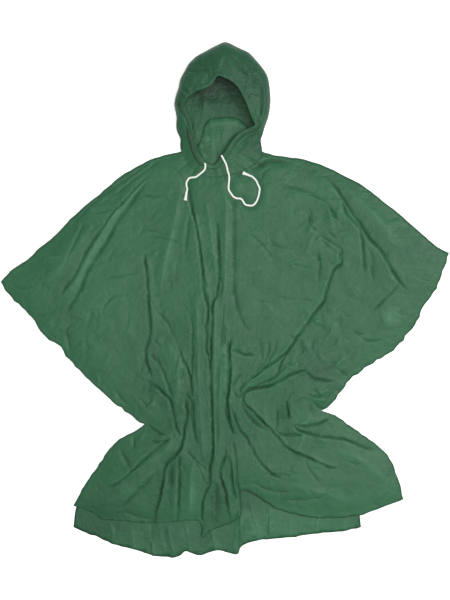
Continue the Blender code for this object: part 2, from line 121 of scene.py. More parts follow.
def rings_along(line, radius):
    """Rings round a line: centre + radius (side cos + up sin), side level and square to the line, up to both.

    radius has a row for each station and a column for each point round it.
    """
    along = unit(np.gradient(line, axis=0))
    side = unit(np.cross(along, (0.0, 0.0, 1.0)))
    up = np.cross(side, along)
    turn = np.linspace(0, 2 * np.pi, radius.shape[1], endpoint=False)[None, :, None]
    return line[:, None] + radius[..., None] * (side[:, None] * np.cos(turn) + up[:, None] * np.sin(turn))


def new_object(name, points, faces, material, **layers):
    """A smooth-shaded object in the scene from points in metres; each layer has a value for every point."""
    mesh = bpy.data.meshes.new(name)
    mesh.from_pydata(np.asarray(points).tolist(), [], faces)
    for layer, values in layers.items():
        attribute = mesh.attributes.new(layer, "FLOAT", "POINT")
        attribute.data.foreach_set("value", np.asarray(values, dtype=np.float32).ravel())
    mesh.materials.append(material)
    mesh.shade_smooth()
    thing = bpy.data.objects.new(name, mesh)
    bpy.context.scene.collection.objects.link(thing)
    return thing


def tube(name, rings, material):
    """A closed solid from a stack of rings, with a flat face over each end."""
    count, around = rings.shape[:2]
    index = np.arange(count * around).reshape(count, around)
    beside = np.roll(index, -1, axis=1)
    sides = np.column_stack([part.ravel() for part in (index[:-1], index[1:], beside[1:], beside[:-1])])
    ends = [index[0].tolist(), index[-1, ::-1].tolist()]
    return new_object(name, rings.reshape(-1, 3), sides.tolist() + ends, material)


def linear(code):
    """An sRGB hex colour as linear red, green and blue, and full alpha."""
    parts = [int(code[i:i + 2], 16) / 255 for i in (1, 3, 5)]
    return (*(c / 12.92 if c <= 0.04045 else ((c + 0.055) / 1.055) ** 2.4 for c in parts), 1.0)


def add(material, kind, output, inputs=None, **settings):
    """Add a node of that kind and return that output of it.

    Settings are its properties. Inputs are its sockets' values, hex colours, or the outputs linked to them.
    """
    node = material.node_tree.nodes.new(kind)
    for name, value in settings.items():
        setattr(node, name, value)
    for socket, value in (inputs or {}).items():
        if isinstance(value, bpy.types.NodeSocket):
            material.node_tree.links.new(value, node.inputs[socket])
        else:
            node.inputs[socket].default_value = linear(value) if isinstance(value, str) else value
    return node.outputs[output]


def new_material(name, **values):
    """A material with the given values on its Principled shader's own sockets."""
    material = bpy.data.materials.new(name)
    material.use_nodes = True
    shader = material.node_tree.nodes["Principled BSDF"]
    for socket, value in values.items():
        shader.inputs[socket.replace("_", " ")].default_value = value
    return material


def join(material, **outputs):
    """Link each output to the Principled shader's socket of that name."""
    shader = material.node_tree.nodes["Principled BSDF"]
    for socket, output in outputs.items():
        material.node_tree.links.new(output, shader.inputs[socket.replace("_", " ")])


def white_finish(name, tones, cloud, detail, grain, strength, depth, **values):
    """A white that drifts between two tones over cloud mm, with a bump of that grain and depth in mm."""
    material = new_material(name, **values)
    place = add(material, "ShaderNodeTexCoord", "Object")
    drift = add(material, "ShaderNodeTexNoise", "Fac",
                {"Vector": place, "Scale": 1 / (cloud * MM), "Detail": detail})
    tone = add(material, "ShaderNodeMix", 2, {"Factor": drift, 6: tones[0], 7: tones[1]}, data_type="RGBA")
    speck = add(material, "ShaderNodeTexNoise", "Fac", {"Vector": place, "Scale": 1 / (grain * MM)})
    normal = add(material, "ShaderNodeBump", "Normal",
                 {"Height": speck, "Strength": strength, "Distance": depth * MM})
    join(material, Base_Color=tone, Normal=normal)
    return material


def braid(name, route, material):
    """A braided cord: strands wind both ways, and lie over and under each other in turn where they cross.

    radius = cord radius (1 - FURROW + FURROW max(A, B)), with A and B the ridges of the two families of
    strands: |cos| of half of STRANDS turn + winding and of half of STRANDS turn - winding, each raised and
    lowered by CROSSING with the sine of the other.
    """
    steps = round(length_of(route) / (STATION * MM))
    line = smooth(route, np.linspace(0, 1, steps + 1))
    along = np.linspace(0, length_of(route) / MM, steps + 1)[:, None]
    turn = np.linspace(0, 2 * np.pi, AROUND, endpoint=False)[None]
    winding = 2 * np.pi * STRANDS * along / STRAND_PITCH
    one, other = STRANDS * turn + winding, STRANDS * turn - winding
    ridge = np.maximum(np.abs(np.cos(one / 2)) * (1 - CROSSING + CROSSING * np.sin(other)),
                       np.abs(np.cos(other / 2)) * (1 - CROSSING - CROSSING * np.sin(one)))
    radius = CORD / 2 * MM * (1 - FURROW + FURROW * ridge)
    return tube(name, rings_along(line, radius), material), line


def bell(name, place, material):
    """The plastic end: a profile turned about the line from place's first point to its second."""
    share = np.array(BELL)[:, 1:]
    start, stop = np.array(place)
    along = unit(stop - start)
    side = unit(np.cross(along, (0.0, 0.0, 1.0)))
    up = np.cross(side, along)
    turn = np.linspace(0, 2 * np.pi, BELL_AROUND, endpoint=False)[None, :, None]
    radius = np.array(BELL)[:, :1, None] * MM
    rings = (start + (stop - start) * share)[:, None] + radius * (side * np.cos(turn) + up * np.sin(turn))
    return tube(name, rings, material)


# Braided polyester: bright white strands, drifting a little in tone, with a fibre's fine fuzz.
cord_finish = white_finish("braided_polyester_white", ("#E4E6E1", "#FBFBF8"), 9, 3.0, 0.5, 0.4, 0.2,
                           Roughness=0.8, Sheen_Weight=0.25, IOR=1.5)
# Injection-moulded polypropylene: slightly waxy white, satin, with a fine moulded grain.
bell_finish = white_finish("moulded_polypropylene_white", ("#E6E9E5", "#F4F5F2"), 6, 2.0, 0.4, 0.2, 0.05,
                           Roughness=0.38, IOR=1.49, Subsurface_Weight=0.15, Subsurface_Scale=0.002)
for side, route, place in (("left", LEFT_CORD, LEFT_BELL), ("right", RIGHT_CORD, RIGHT_BELL)):
    end = bell(f"cord_{side}_tip", place, bell_finish)
    piece, line = braid(f"cord_{side}_braid", route, cord_finish)
    for thing, node, slot in ((end, f"cord_{side}_end", "white_plastic_end"),
                              (piece, f"cord_{side}", "white_braided_cord")):
        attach(thing, "root")
        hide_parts(node)

# ----------------------------------------------------------------------------------------------------------
# Back panel: the half of the body sheet that the rest lies on. A strip of it shows below the front hem, and
# its inner side shows through the face opening, up to the seam across the hood's back.
# ----------------------------------------------------------------------------------------------------------
SHEET = 0.8                  # mm, shown thickness of the sheet
WALL = 1.4                   # mm, the wall that stands for it in the solids under this surface
SEAM_GAP = 0.3               # mm, between two pieces of the solids along a seam
LAYER_GAP = 0.3              # mm, between the two panels
COVER = 2.0                  # the front panel rises this many times as high as a back fold under it
SIDE_INSET = 5.0             # mm, the back panel's side edges lie this far inside the front panel's
SHOULDER_INSET = 1.5         # mm, and its shoulder edges this far

# Outlines in mm: shoulder lines from wing tip to neck, side edges from wing tip to waist and on to the hem.
LEFT_SHOULDER = (
    (-560, 46), (-531, 77), (-494, 101), (-464, 130), (-438, 150), (-409, 178), (-388, 201), (-362, 224),
    (-330, 252), (-312, 266), (-269, 303), (-239, 323), (-188, 350), (-143, 364), (-113, 370), (-106, 376),
)
RIGHT_SHOULDER = (
    (560, 118), (529, 134), (489, 168), (438, 213), (388, 253), (338, 290), (288, 316), (239, 339),
    (188, 354), (163, 357), (125, 362), (96, 370), (90, 374),
)
LEFT_WING_EDGE = (
    (-560, 46), (-541, 15), (-519, -8), (-487, -39), (-463, -75), (-439, -98), (-414, -114), (-397, -141),
    (-359, -178), (-326, -213), (-288, -247), (-243, -282), (-215, -302), (-200, -309),
)
LEFT_SKIRT_EDGE = (
    (-213, -319), (-269, -351), (-288, -372), (-313, -407), (-339, -444), (-364, -486), (-379, -513),
)
RIGHT_WING_EDGE = (
    (560, 118), (553, 97), (540, 58), (523, 20), (491, -22), (479, -54), (444, -100), (418, -126),
    (378, -152), (320, -191), (298, -216), (274, -248), (256, -266), (240, -275),
)
RIGHT_SKIRT_EDGE = (
    (275, -287), (312, -313), (362, -349), (388, -369), (413, -399), (433, -449), (446, -497),
)
BACK_LEFT_EDGE = ((-232, -345), (-318, -440), (-368, -508), (-379, -567))
BACK_RIGHT_EDGE = ((262, -310), (300, -400), (330, -490), (340, -567))
BACK_HEM = (
    (-379, -567), (-340, -586), (-320, -591), (-282, -609), (-238, -620), (-212, -628), (-175, -639),
    (-125, -642), (-95, -628), (-62, -638), (-18, -626), (30, -635), (43, -615), (92, -599), (162, -593),
    (228, -584), (288, -578), (340, -567),
)
BACK_NECKLINE = (            # the seam across the hood's back, up which this panel runs
    (-106, 376), (-86, 378), (-70, 384), (-59, 394), (-54, 410), (-50, 426), (-45, 440), (-30, 450), (0, 453),
    (24, 451), (40, 444), (52, 432), (66, 410), (80, 388), (90, 374),
)
BACK_LAP = 5.0               # mm, how far it laps over the hood's back at that seam
END_INSET = 3.0              # mm, how far short of the seam it stops at the seam's two ends
LAP_RISE = 0.15              # mm, how far it lies above the hood's back there
OUTLINE_STEP = 3.0           # mm between points along a sheet's outline
BACK_PITCH = 6.0             # mm between the points of the back panel's net, away from its creases
CREASE_ROWS = (-4.2, -1.8, 0, 1.8, 4.2)     # mm beside a crease, rows of points of the net
ROW_CELL = 1.2               # mm, size of the cells that hold only one point of those rows each
UNDER_PITCH = 2.5            # pitch of the net of a sheet's lower side, as a multiple of its upper side's
EDGE_SHADE = 0.6              # how dark the painted shade along a cut edge is
EDGE_WIDTH = 2.2             # mm, how far in from the edge that goes
NECKLINE_SHADE = 0.2          # share of that painted shade at the neckline, and y from which it counts, in mm
NECKLINE_FROM = 375

# Creases are rows of (half width to the left of the line, to its right, height, the line's points), in mm.
FULL_DEPTH = 8.0             # mm, depth from which the painted shade in the bottom of a fold is as dark as it gets
CORE = 0.7                   # half width of a hollow, as a share of its smaller one
LIP = 0.75                   # height of the fold beside a hollow, as a share of its depth
CREST = 0.9                  # how pale the painted highlight on that fold is, as a share of how dark the bottom's painted shade is
TONE_CORE = 0.7              # half width of the painted dark line of shade, as a share of the crease's smaller one
TONE_LEAST = 3.3             # mm, the least half width that counts there
WOBBLE = 0.45                # mm, how unsteady a crease's line is
FADE = 2.4                   # how far from its ends it fades, as a share of its two half widths together
REACH = 4.5                  # how far to its sides it is worked out, as a share of the larger half width
BACK_CREASES = (
    (6, 9, 4.5, ((-190, -555), (-185, -597), (-176, -645))),
    (4, 5, 3, ((-142, -560), (-138, -590), (-126, -640))),
    (7, 4, 5, ((-34, -570), (-30, -600), (-18, -640))),
    (8, 5, 3.5, ((-100, -560), (-92, -600), (-86, -640))),
    (4, 9, 6, ((38, -520), (40, -560), (36, -600), (30, -640))),
    (9, 5, 5, ((60, -500), (70, -540), (82, -575), (92, -610))),
    (8, 5, 3, ((108, -515), (112, -545), (112, -600))),
    (6, 10, 4, ((234, -540), (230, -565), (228, -595))),
    (8, 8, 2.5, ((165, -540), (160, -600))),
    (9, 9, 2.5, ((300, -530), (296, -580))),
    (12, 12, 3, ((-290, -555), (-270, -612))),
    (9, 9, 2.5, ((-235, -560), (-226, -628))),
    (9, 9, -4, ((-180, -545), (-184, -590), (-187, -645))),
    (3, 5, -4, ((-159, -550), (-150, -590), (-142, -630))),
    (3, 4, -6, ((37, -560), (36, -588), (32, -636))),
    (3, 3, 3, ((-34, -592), (-28, -604), (-17, -622))),
    (4, 7, -3, ((-60, -560), (-64, -596), (-58, -630))),
    (5, 7, -2.5, ((112, -540), (104, -570), (112, -600))),
    (4, 7, -2.5, ((-282, -550), (-272, -580), (-276, -606))),
)
NECK_CREASES = (             # inside the hood: the swell under the seam and the folds beside it
    (14, 26, 5, ((-44, 428), (-34, 439), (-16, 443), (2, 444), (22, 442), (42, 430))),
    (5, 5, 3.5, ((-64, 392), (-58, 376), (-50, 352))),
    (7, 6, 3, ((-38, 430), (-32, 400), (-34, 370))),
    (6, 6, 2.5, ((30, 428), (14, 400), (0, 376))),
    (6, 6, 2.5, ((4, 438), (-6, 410), (-12, 384))),
    (4, 6, -5, ((-26, 380), (-20, 367), (-16, 355), (-22, 344), (-30, 332))),
    (5, 9, -3, ((-51, 438), (-55, 414), (-56, 396), (-52, 366))),
)

# Broad places of painted shade, where the sheet is painted deeper in colour, and of painted light, where it
# is
# painted paler and the tone is below 0: centre, reach each way in mm, and tone.
PAINTED_LIGHT_AND_SHADE = (
    (72, 378, 36, 28, 0.6), (18, 438, 30, 20, 0.2), (250, 335, 90, 26, 0.12), (305, 285, 40, 30, 0.15),
    (400, 100, 130, 120, 0.14), (-25, 318, 50, 14, 0.2), (-165, 308, 55, 36, -0.12),
    (-520, 70, 60, 60, -0.12), (-310, -540, 95, 85, 0.5), (-215, -425, 60, 30, 0.2),
    (-110, -400, 120, 120, 0.12), (-30, -310, 170, 150, 0.2), (-290, 60, 60, 160, -0.15),
    (-80, -592, 80, 26, 0.35), (58, -520, 24, 30, 0.45), (10, -15, 25, 60, 0.2), (262, -200, 45, 60, 0.2),
    (250, -115, 65, 45, 0.2), (235, -172, 50, 22, 0.25), (-335, -575, 36, 24, 0.3), (75, -85, 75, 65, 0.2),
    (-195, -120, 30, 130, 0.1), (525, 115, 50, 50, 0.15), (160, -565, 110, 40, -0.26),
    (370, -495, 60, 40, -0.18), (-180, -140, 13, 75, 0.35), (-190, -222, 26, 12, 0.3),
    (-150, -255, 18, 26, 0.35), (-130, -305, 10, 30, 0.3), (-88, -262, 9, 55, 0.45),
    (-128, -400, 16, 22, 0.35), (-158, -455, 12, 45, 0.3), (-172, -545, 12, 60, 0.35),
    (-135, -480, 9, 60, 0.35), (-12, -500, 32, 50, 0.45), (-38, -430, 10, 40, 0.3), (6, -420, 9, 60, 0.35),
    (148, -275, 12, 34, 0.5), (160, -322, 18, 14, 0.35), (218, -184, 42, 18, 0.35),
    (-60, -130, 60, 160, 0.12), (50, -330, 40, 50, 0.12), (-12, -200, 11, 150, -0.3),
    (-82, -488, 20, 70, -0.25), (290, -165, 12, 14, -0.2), (-97, 545, 30, 40, -0.22),
    (64, 552, 30, 38, 0.2), (95, 450, 15, 34, -0.15), (105, 488, 13, 40, 0.45),
)
SHEET_COLOURS = (            # the lower and the higher tone, a painted highlight, painted shade in broad places, painted shade in a fold
    "#295A3E", "#346646", "#4A7D5D", "#234E37", "#2B352B",
)
GLOSS = 0.42                 # mean roughness
BODY_CRUMPLE = 0.6           # strength of the ripples of the body sheet


def moved_out(points, distance):
    """The points moved to the left of the way that they run, in plan."""
    along = np.gradient(points, axis=0)
    return points + distance * unit(np.column_stack((-along[:, 1], along[:, 0])))


def closed_line(sides):
    """Smooth curves through the sides' points, as one closed line with a point each OUTLINE_STEP."""
    line = np.vstack([smooth(side, np.linspace(0, 1, round(length_of(side) / OUTLINE_STEP) + 1))
                      for side in sides])
    return line[np.linalg.norm(line - np.roll(line, -1, axis=0), axis=1) > 0.2 * OUTLINE_STEP]


def uneven(side, amount, seed):
    """A side's curve, moved off its line at random by up to amount mm, unevenly as cut and creased."""
    count = round(length_of(side) / OUTLINE_STEP) + 1
    line = smooth(side, np.linspace(0, 1, count))
    knots = np.random.default_rng(seed).uniform(-amount, amount, count // 4 + 2)
    knots[[0, -1]] = 0
    moves = np.interp(np.linspace(0, 1, count), np.linspace(0, 1, len(knots)), knots)
    return moved_out(line, moves[:, None])


def close_to(points, others, cell):
    """Which of the points lie within a cell or two of any of the others, by a raster of such cells."""
    low = np.minimum(points.min(axis=0), others.min(axis=0)) - 2 * cell
    size = np.maximum(points.max(axis=0), others.max(axis=0)) - low
    raster = np.zeros((size / cell + 3).astype(int), dtype=bool)
    i, j = ((others - low) / cell).astype(int).T
    for row in (-1, 0, 1):
        for column in (-1, 0, 1):
            raster[i + row, j + column] = True
    i, j = ((points - low) / cell).astype(int).T
    return raster[i, j]


def inside(points, outline):
    """Which points lie inside a closed outline: those with an odd number of its sides to their right."""
    x, y = points.T
    odd = np.zeros(len(points), dtype=bool)
    for (ax, ay), (bx, by) in zip(outline, np.roll(outline, -1, axis=0)):
        level = (ay > y) != (by > y)
        odd[level] ^= x[level] < ax + (y[level] - ay) / (by - ay) * (bx - ax)
    return odd


def net(outline, table, pitch, offsets):
    """Points for a sheet and the triangles between them, facing up.

    The points are the outline, rows beside each crease of the table at the given offsets, and a lattice of
    that pitch over the rest. The triangles are Delaunay's.
    """
    lines = [crease_line(row[3], round(length_of(row[3]) / pitch) + 3) for row in table]
    rows = np.vstack([moved_out(line, offset) for line in lines for offset in offsets])
    rows = rows[np.unique((rows / ROW_CELL).round(), axis=0, return_index=True)[1]]
    rows = rows[~close_to(rows, outline, 0.4 * pitch)]
    low, high = outline.min(axis=0), outline.max(axis=0)
    lattice = np.stack(np.meshgrid(*(np.arange(*ends, pitch) for ends in zip(low, high))), axis=-1)
    lattice[::2, :, 0] += pitch / 2
    lattice = lattice.reshape(-1, 2)
    lattice = lattice[~close_to(lattice, np.vstack((outline, rows)), 0.5 * pitch)]
    inner = np.vstack((rows, lattice))
    points = np.vstack((outline, inner[inside(inner, outline)]))
    ring = [(i, (i + 1) % len(outline)) for i in range(len(outline))]
    corners = [Vector(point) for point in points.tolist()]
    triangles = np.array(delaunay_2d_cdt(corners, ring, [], 0, 1e-5, False)[2])
    outer = (triangles < len(outline)).all(axis=1)
    outer[outer] = ~inside(points[triangles[outer]].mean(axis=1), outline)
    return points, triangles[~outer]


def sheet_of(name, outline, table, pitch, surface, material):
    """A closed sheet with a clockwise outline in mm: an upper net, a coarser one under it, and a rim.

    surface gives the height at x, y and the layers of values for each point.
    """
    upper, over = net(outline, table, pitch, CREASE_ROWS)
    lower, under = net(outline, table, UNDER_PITCH * pitch, (0,))
    x, y = np.vstack((upper, lower)).T
    z, layers = surface(x, y)
    z[len(upper):] -= SHEET
    here = np.arange(len(outline))
    following = np.roll(here, -1)
    rim = np.column_stack((here, following, following + len(upper), here + len(upper)))
    faces = over.tolist() + (under[:, ::-1] + len(upper)).tolist() + rim.tolist()
    return new_object(name, np.column_stack((x, y, z)) * MM, faces, material, **layers)


def crease_line(points, count):
    """Points along a crease: the smooth curve through its own, a little unsteady across, by two sines."""
    line = smooth(points, np.linspace(0, 1, count), spans=6)
    place = np.linspace(0, length_of(points), count) + 7 * line[0, 0]
    wobble = WOBBLE * (np.sin(place / 5.1) + np.sin(place / 2.7 + 1.3))
    return moved_out(line, wobble[:, None])


def crease(x, y, left, right, height, points):
    """Height of one crease at x, y, and its tone: 1 for painted shade in a deep fold, -1 for a painted
    highlight on a crest.

    A ridge is height exp(-(distance / half width)^1.15), with a half width for each side. A hollow is the
    same with CORE times the smaller half width, where one fold of the sheet laps over the next: on its wider
    side the fold stands up beside it, LIP height (1 - exp(-distance / core)) exp(-(distance / half
    width)^1.3). The tone is painted light and shade: the height's share of FULL_DEPTH, times exp(-(distance /
    (TONE_CORE smaller half width))^1.5) less CREST times that fold, so painted shade darkens the bottom of a
    hollow and a painted highlight lightens a ridge and the fold beside a hollow. All of it fades over the
    ends, by 1 - (1 - share)^2, and comes and goes along the line by two sines.
    """
    reach = REACH * max(left, right)
    line = crease_line(points, max(6, round(length_of(points) / 4)))
    total = np.zeros((2, *x.shape))
    near = ((x > line[:, 0].min() - reach) & (x < line[:, 0].max() + reach)
            & (y > line[:, 1].min() - reach) & (y < line[:, 1].max() + reach))
    if not near.any():
        return total
    px, py = x[near][:, None], y[near][:, None]
    ax, ay = line[:-1].T
    step = np.diff(line, axis=0)
    size = np.linalg.norm(step, axis=1)
    t = np.clip(((px - ax) * step[:, 0] + (py - ay) * step[:, 1]) / size**2, 0, 1)
    away = np.hypot(px - ax - t * step[:, 0], py - ay - t * step[:, 1])
    best = away.argmin(axis=1)[:, None]
    away, t = np.take_along_axis(away, best, 1)[:, 0], np.take_along_axis(t, best, 1)[:, 0]
    best = best[:, 0]
    turn = step[best, 0] * (py[:, 0] - ay[best]) - step[best, 1] * (px[:, 0] - ax[best])
    place = (np.cumsum(size) - size)[best] + t * size[best]
    ease = min(FADE * (left + right), 0.4 * size.sum())
    fade = 1 - (1 - np.clip(np.minimum(place, size.sum() - place) / ease, 0, 1))**2
    fade *= 0.8 + 0.2 * np.sin(place / 21 + line[0, 0]) + 0.14 * np.sin(place / 8.3 + line[0, 1])
    width = np.where(turn > 0, left, right)
    profile = np.exp(-(away / width)**1.15)
    # painted shade in the bottom of the crease, and a painted highlight on the fold beside it
    tone = np.exp(-(away / (TONE_CORE * max(TONE_LEAST, min(left, right))))**1.5)
    if height < 0:
        core = CORE * min(left, right)
        fold = (width == max(left, right)) * (1 - np.exp(-away / core)) * np.exp(-(away / width)**1.3)
        profile = np.exp(-(away / core)**1.15) - LIP * fold
        tone -= CREST * fold
    total[0][near] = height * fade * profile
    total[1][near] = np.clip(-height / FULL_DEPTH, -1, 1) * fade * tone
    return total


def creases(x, y, table):
    """Heights and tones of all the creases of a table at x, y, added up."""
    return sum(crease(x, y, *row) for row in table)


def back_top(x, y):
    """Top of the back panel, never below the sheet lying flat."""
    rise = np.maximum(creases(x, y, BACK_CREASES)[0], 0) + np.maximum(creases(x, y, NECK_CREASES)[0], 0)
    return SHEET + LAP_RISE + rise


def calendered_pvc(name, low, high, highlight_colour, shade_green, deep_shade_brown, crumple):
    """Calendered PVC sheet: pigmented through, satin, softly crumpled all over from being folded in its bag.

    Its colour drifts between low and high over some 50 mm. Its attribute layers is painted shade, which takes
    it towards a deeper green. Its attribute fold is 1 for painted shade in the bottoms of the folds, brown
    and deep, and -1 for a painted highlight on their crests. Thin wrinkles follow the middle values of a
    noise of
    46 mm, in patches of 75 mm; between them it ripples over 15 mm, as strongly as crumple says. Where it is
    gathered, pleats some 9 mm wide run along the sheet's own length. The grain is a noise of 1.2 mm, drawn
    coarser than the real 0.2 mm so that it shows.
    """
    material = new_material(name, IOR=1.53, Specular_IOR_Level=0.2)
    place = add(material, "ShaderNodeTexCoord", "Object")
    stretch = add(material, "ShaderNodeMapping", "Vector", {"Vector": place, "Scale": (0.75, 1.35, 1.0)})
    across, along, gather, fold, layers = (add(material, "ShaderNodeAttribute", "Fac", attribute_name=layer)
                                           for layer in ("across", "along", "gather", "fold", "layers"))
    along = add(material, "ShaderNodeMapRange", "Result", {"Value": along, "To Max": 0.1})
    cut = add(material, "ShaderNodeCombineXYZ", "Vector", {"X": across, "Y": along})
    drift, line, patch, ripple, pleats, grain = (
        add(material, "ShaderNodeTexNoise", "Fac",
            {"Vector": where, "Scale": 1 / (size * MM), "Detail": detail, "Roughness": roughness})
        for where, size, detail, roughness in (
            (place, 50, 5.0, 0.65), (stretch, 46, 1.0, 0.5), (place, 75, 1.0, 0.5),
            (place, 15, 4.0, 0.6), (cut, 9, 2.0, 0.5), (place, 1.2, 2.0, 0.5)))

    drift = add(material, "ShaderNodeMapRange", "Result",
                {"Value": drift, "From Min": 0.25, "From Max": 0.75})
    colour = add(material, "ShaderNodeMix", 2, {"Factor": drift, 6: low, 7: high}, data_type="RGBA")
    # painted light and shade: a painted highlight, painted shade of deeper green, and painted shade of brown
    for layer, full, most, other in (
            (fold, -1.0, 0.9, highlight_colour), (layers, 0.7, 0.95, shade_green), (fold, 1.0, 0.8, deep_shade_brown)):
        share = add(material, "ShaderNodeMapRange", "Result",
                    {"Value": layer, "From Max": full, "To Max": most})
        colour = add(material, "ShaderNodeMix", 2, {"Factor": share, 6: colour, 7: other}, data_type="RGBA")

    line = add(material, "ShaderNodeMath", "Value", {0: line, 1: 0.5}, operation="SUBTRACT")
    line = add(material, "ShaderNodeMath", "Value", {0: line}, operation="ABSOLUTE")
    line = add(material, "ShaderNodeMapRange", "Result", {"Value": line, "From Max": 0.07})
    patch = add(material, "ShaderNodeMapRange", "Result",
                {"Value": patch, "From Min": 0.42, "From Max": 0.58})
    wrinkle = add(material, "ShaderNodeMath", "Value", {0: line, 1: patch}, operation="MULTIPLY")
    normal = {}
    for height, strength, distance in (
            (wrinkle, 0.4, 1.2), (ripple, crumple, 3.4), (pleats, gather, 4.5), (grain, 0.35, 0.12)):
        relief = {"Height": height, "Strength": strength, "Distance": distance * MM, **normal}
        normal = {"Normal": add(material, "ShaderNodeBump", "Normal", relief)}
    roughness = add(material, "ShaderNodeMapRange", "Result", {
        "Value": ripple, "From Min": 0.3, "From Max": 0.7, "To Min": GLOSS - 0.06, "To Max": GLOSS + 0.08})
    join(material, Base_Color=colour, Roughness=roughness, **normal)
    return material


def from_outline(x, y, outline):
    """Distance of each point from the nearest side of a closed outline, in mm."""
    away = np.full(x.shape, 1e3)
    for start, end in zip(outline, np.roll(outline, -1, axis=0)):
        step = end - start
        t = np.clip(((x - start[0]) * step[0] + (y - start[1]) * step[1]) / (step @ step), 0, 1)
        away = np.minimum(away, np.hypot(x - start[0] - t * step[0], y - start[1] - t * step[1]))
    return away


def add_up(x, y, places):
    """Sum of value exp(-(x / reach)^2 - (y / reach)^2) over rows of centre, reach each way and value."""
    return sum(value * np.exp(-((x - cx) / rx)**2 - ((y - cy) / ry)**2) for cx, cy, rx, ry, value in places)


def broad_light_and_shade(x, y):
    """Painted light of the broad places, below 0, and their painted shade, above it."""
    tone = add_up(x, y, PAINTED_LIGHT_AND_SHADE)
    return np.minimum(tone, 0), np.maximum(tone, 0)


def back_surface(x, y):
    """The back panel's height and layers, with painted shade along its edge all round but at the neckline."""
    # painted shade along the cut edge, less at the neckline
    edge = EDGE_SHADE * np.exp(-(from_outline(x, y, back_outline[::2]) / EDGE_WIDTH)**2)
    edge *= 1 - (1 - NECKLINE_SHADE) * np.clip((y - NECKLINE_FROM) / 20, 0, 1)
    painted_light, layers = broad_light_and_shade(x, y)
    fold = creases(x, y, (*BACK_CREASES, *NECK_CREASES))[1] + painted_light + edge
    return back_top(x, y), {"fold": fold, "layers": layers}


def back_neck_edge(count):
    """The back panel's edge at the seam across the hood's back: lapped over it, but set back at its ends."""
    line = smooth(BACK_NECKLINE, np.linspace(0, 1, count))
    inner = np.sin(np.pi * np.linspace(0, 1, count))
    return moved_out(line, (BACK_LAP * np.clip(inner * 1.6, 0, 1) - END_INSET * (inner < 0.2))[:, None])


sheet_finish = calendered_pvc("calendered_pvc_green", *SHEET_COLOURS, BODY_CRUMPLE)

left_edge = (*(np.array(LEFT_WING_EDGE) + (SIDE_INSET, 0)), *BACK_LEFT_EDGE)
right_edge = (*(np.array(RIGHT_WING_EDGE) - (SIDE_INSET, 0)), *BACK_RIGHT_EDGE)
back_outline = closed_line((
    np.vstack((left_edge[:1], np.array(LEFT_SHOULDER[1:]) - (0, SHOULDER_INSET))),
    back_neck_edge(31),
    np.vstack((np.array(RIGHT_SHOULDER[:0:-1]) - (0, SHOULDER_INSET), right_edge[:1])),
    right_edge, uneven(BACK_HEM[::-1], 1.6, 8), left_edge[::-1],
))
back = sheet_of("body_back", back_outline, (*BACK_CREASES, *NECK_CREASES), BACK_PITCH, back_surface,
                sheet_finish)
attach(back, "root")
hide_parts("back_panel")

# ----------------------------------------------------------------------------------------------------------
# Front panel: the other half of the body sheet, with its neckline, lying on the back panel. It is drawn in at
# the waist, from where folds run up over the chest, along the wings and down the skirt.
# ----------------------------------------------------------------------------------------------------------
FRONT_PITCH = 3.5            # mm between the points of its net, away from its creases
FRONT_HEM = (                # stepped where two deep folds run off it
    (-379, -513), (-325, -532), (-305, -547), (-262, -551), (-188, -557), (-118, -552), (-64, -552),
    (-57, -594), (-40, -579), (-8, -564), (30, -548), (41, -527), (40, -479), (62, -478), (100, -502),
    (132, -521), (188, -537), (238, -544), (332, -538), (388, -520), (446, -497),
)
# The hood's outline and face opening, as sections out from the opening, clockwise from the throat: a point of
# the opening's edge and its height, a point of the outline or neckline, and 1 where it is the neckline.
HOOD_SECTIONS = (
    (-30, 336, 15, -34, 312, 1), (-48, 342, 17, -62, 320, 1), (-60, 356, 19, -82, 336, 1),
    (-69, 373, 22, -96, 355, 1), (-74, 391, 25, -106, 376, 1), (-79, 413, 27, -112, 401, 0),
    (-84, 436, 28, -121, 426, 0), (-91, 457, 30, -122, 456, 0), (-100, 476, 32, -126, 481, 0),
    (-99, 491, 36, -123, 503, 0), (-88, 506, 40, -117, 526, 0), (-70, 517, 42, -110, 553, 0),
    (-52, 523, 44, -93, 584, 0), (-35, 531, 47, -76, 604, 0), (-26, 542, 49, -50, 618, 0),
    (-18, 553, 51, -22, 633, 0), (-2, 549, 52, 2, 642, 0), (15, 541, 51, 31, 630, 0),
    (30, 528, 49, 63, 613, 0), (42, 509, 47, 91, 583, 0), (52, 489, 45, 108, 551, 0),
    (60, 468, 42, 113, 501, 0), (68, 448, 39, 110, 461, 0), (74, 434, 35, 99, 428, 0),
    (55, 424, 33, 90, 403, 0), (35, 413, 30, 90, 374, 1), (18, 396, 26, 82, 357, 1),
    (5, 376, 23, 68, 341, 1), (-8, 358, 19, 42, 326, 1), (-19, 344, 16, 6, 316, 1),
)
HOOD_STATIONS = 8            # stations for each of those sections

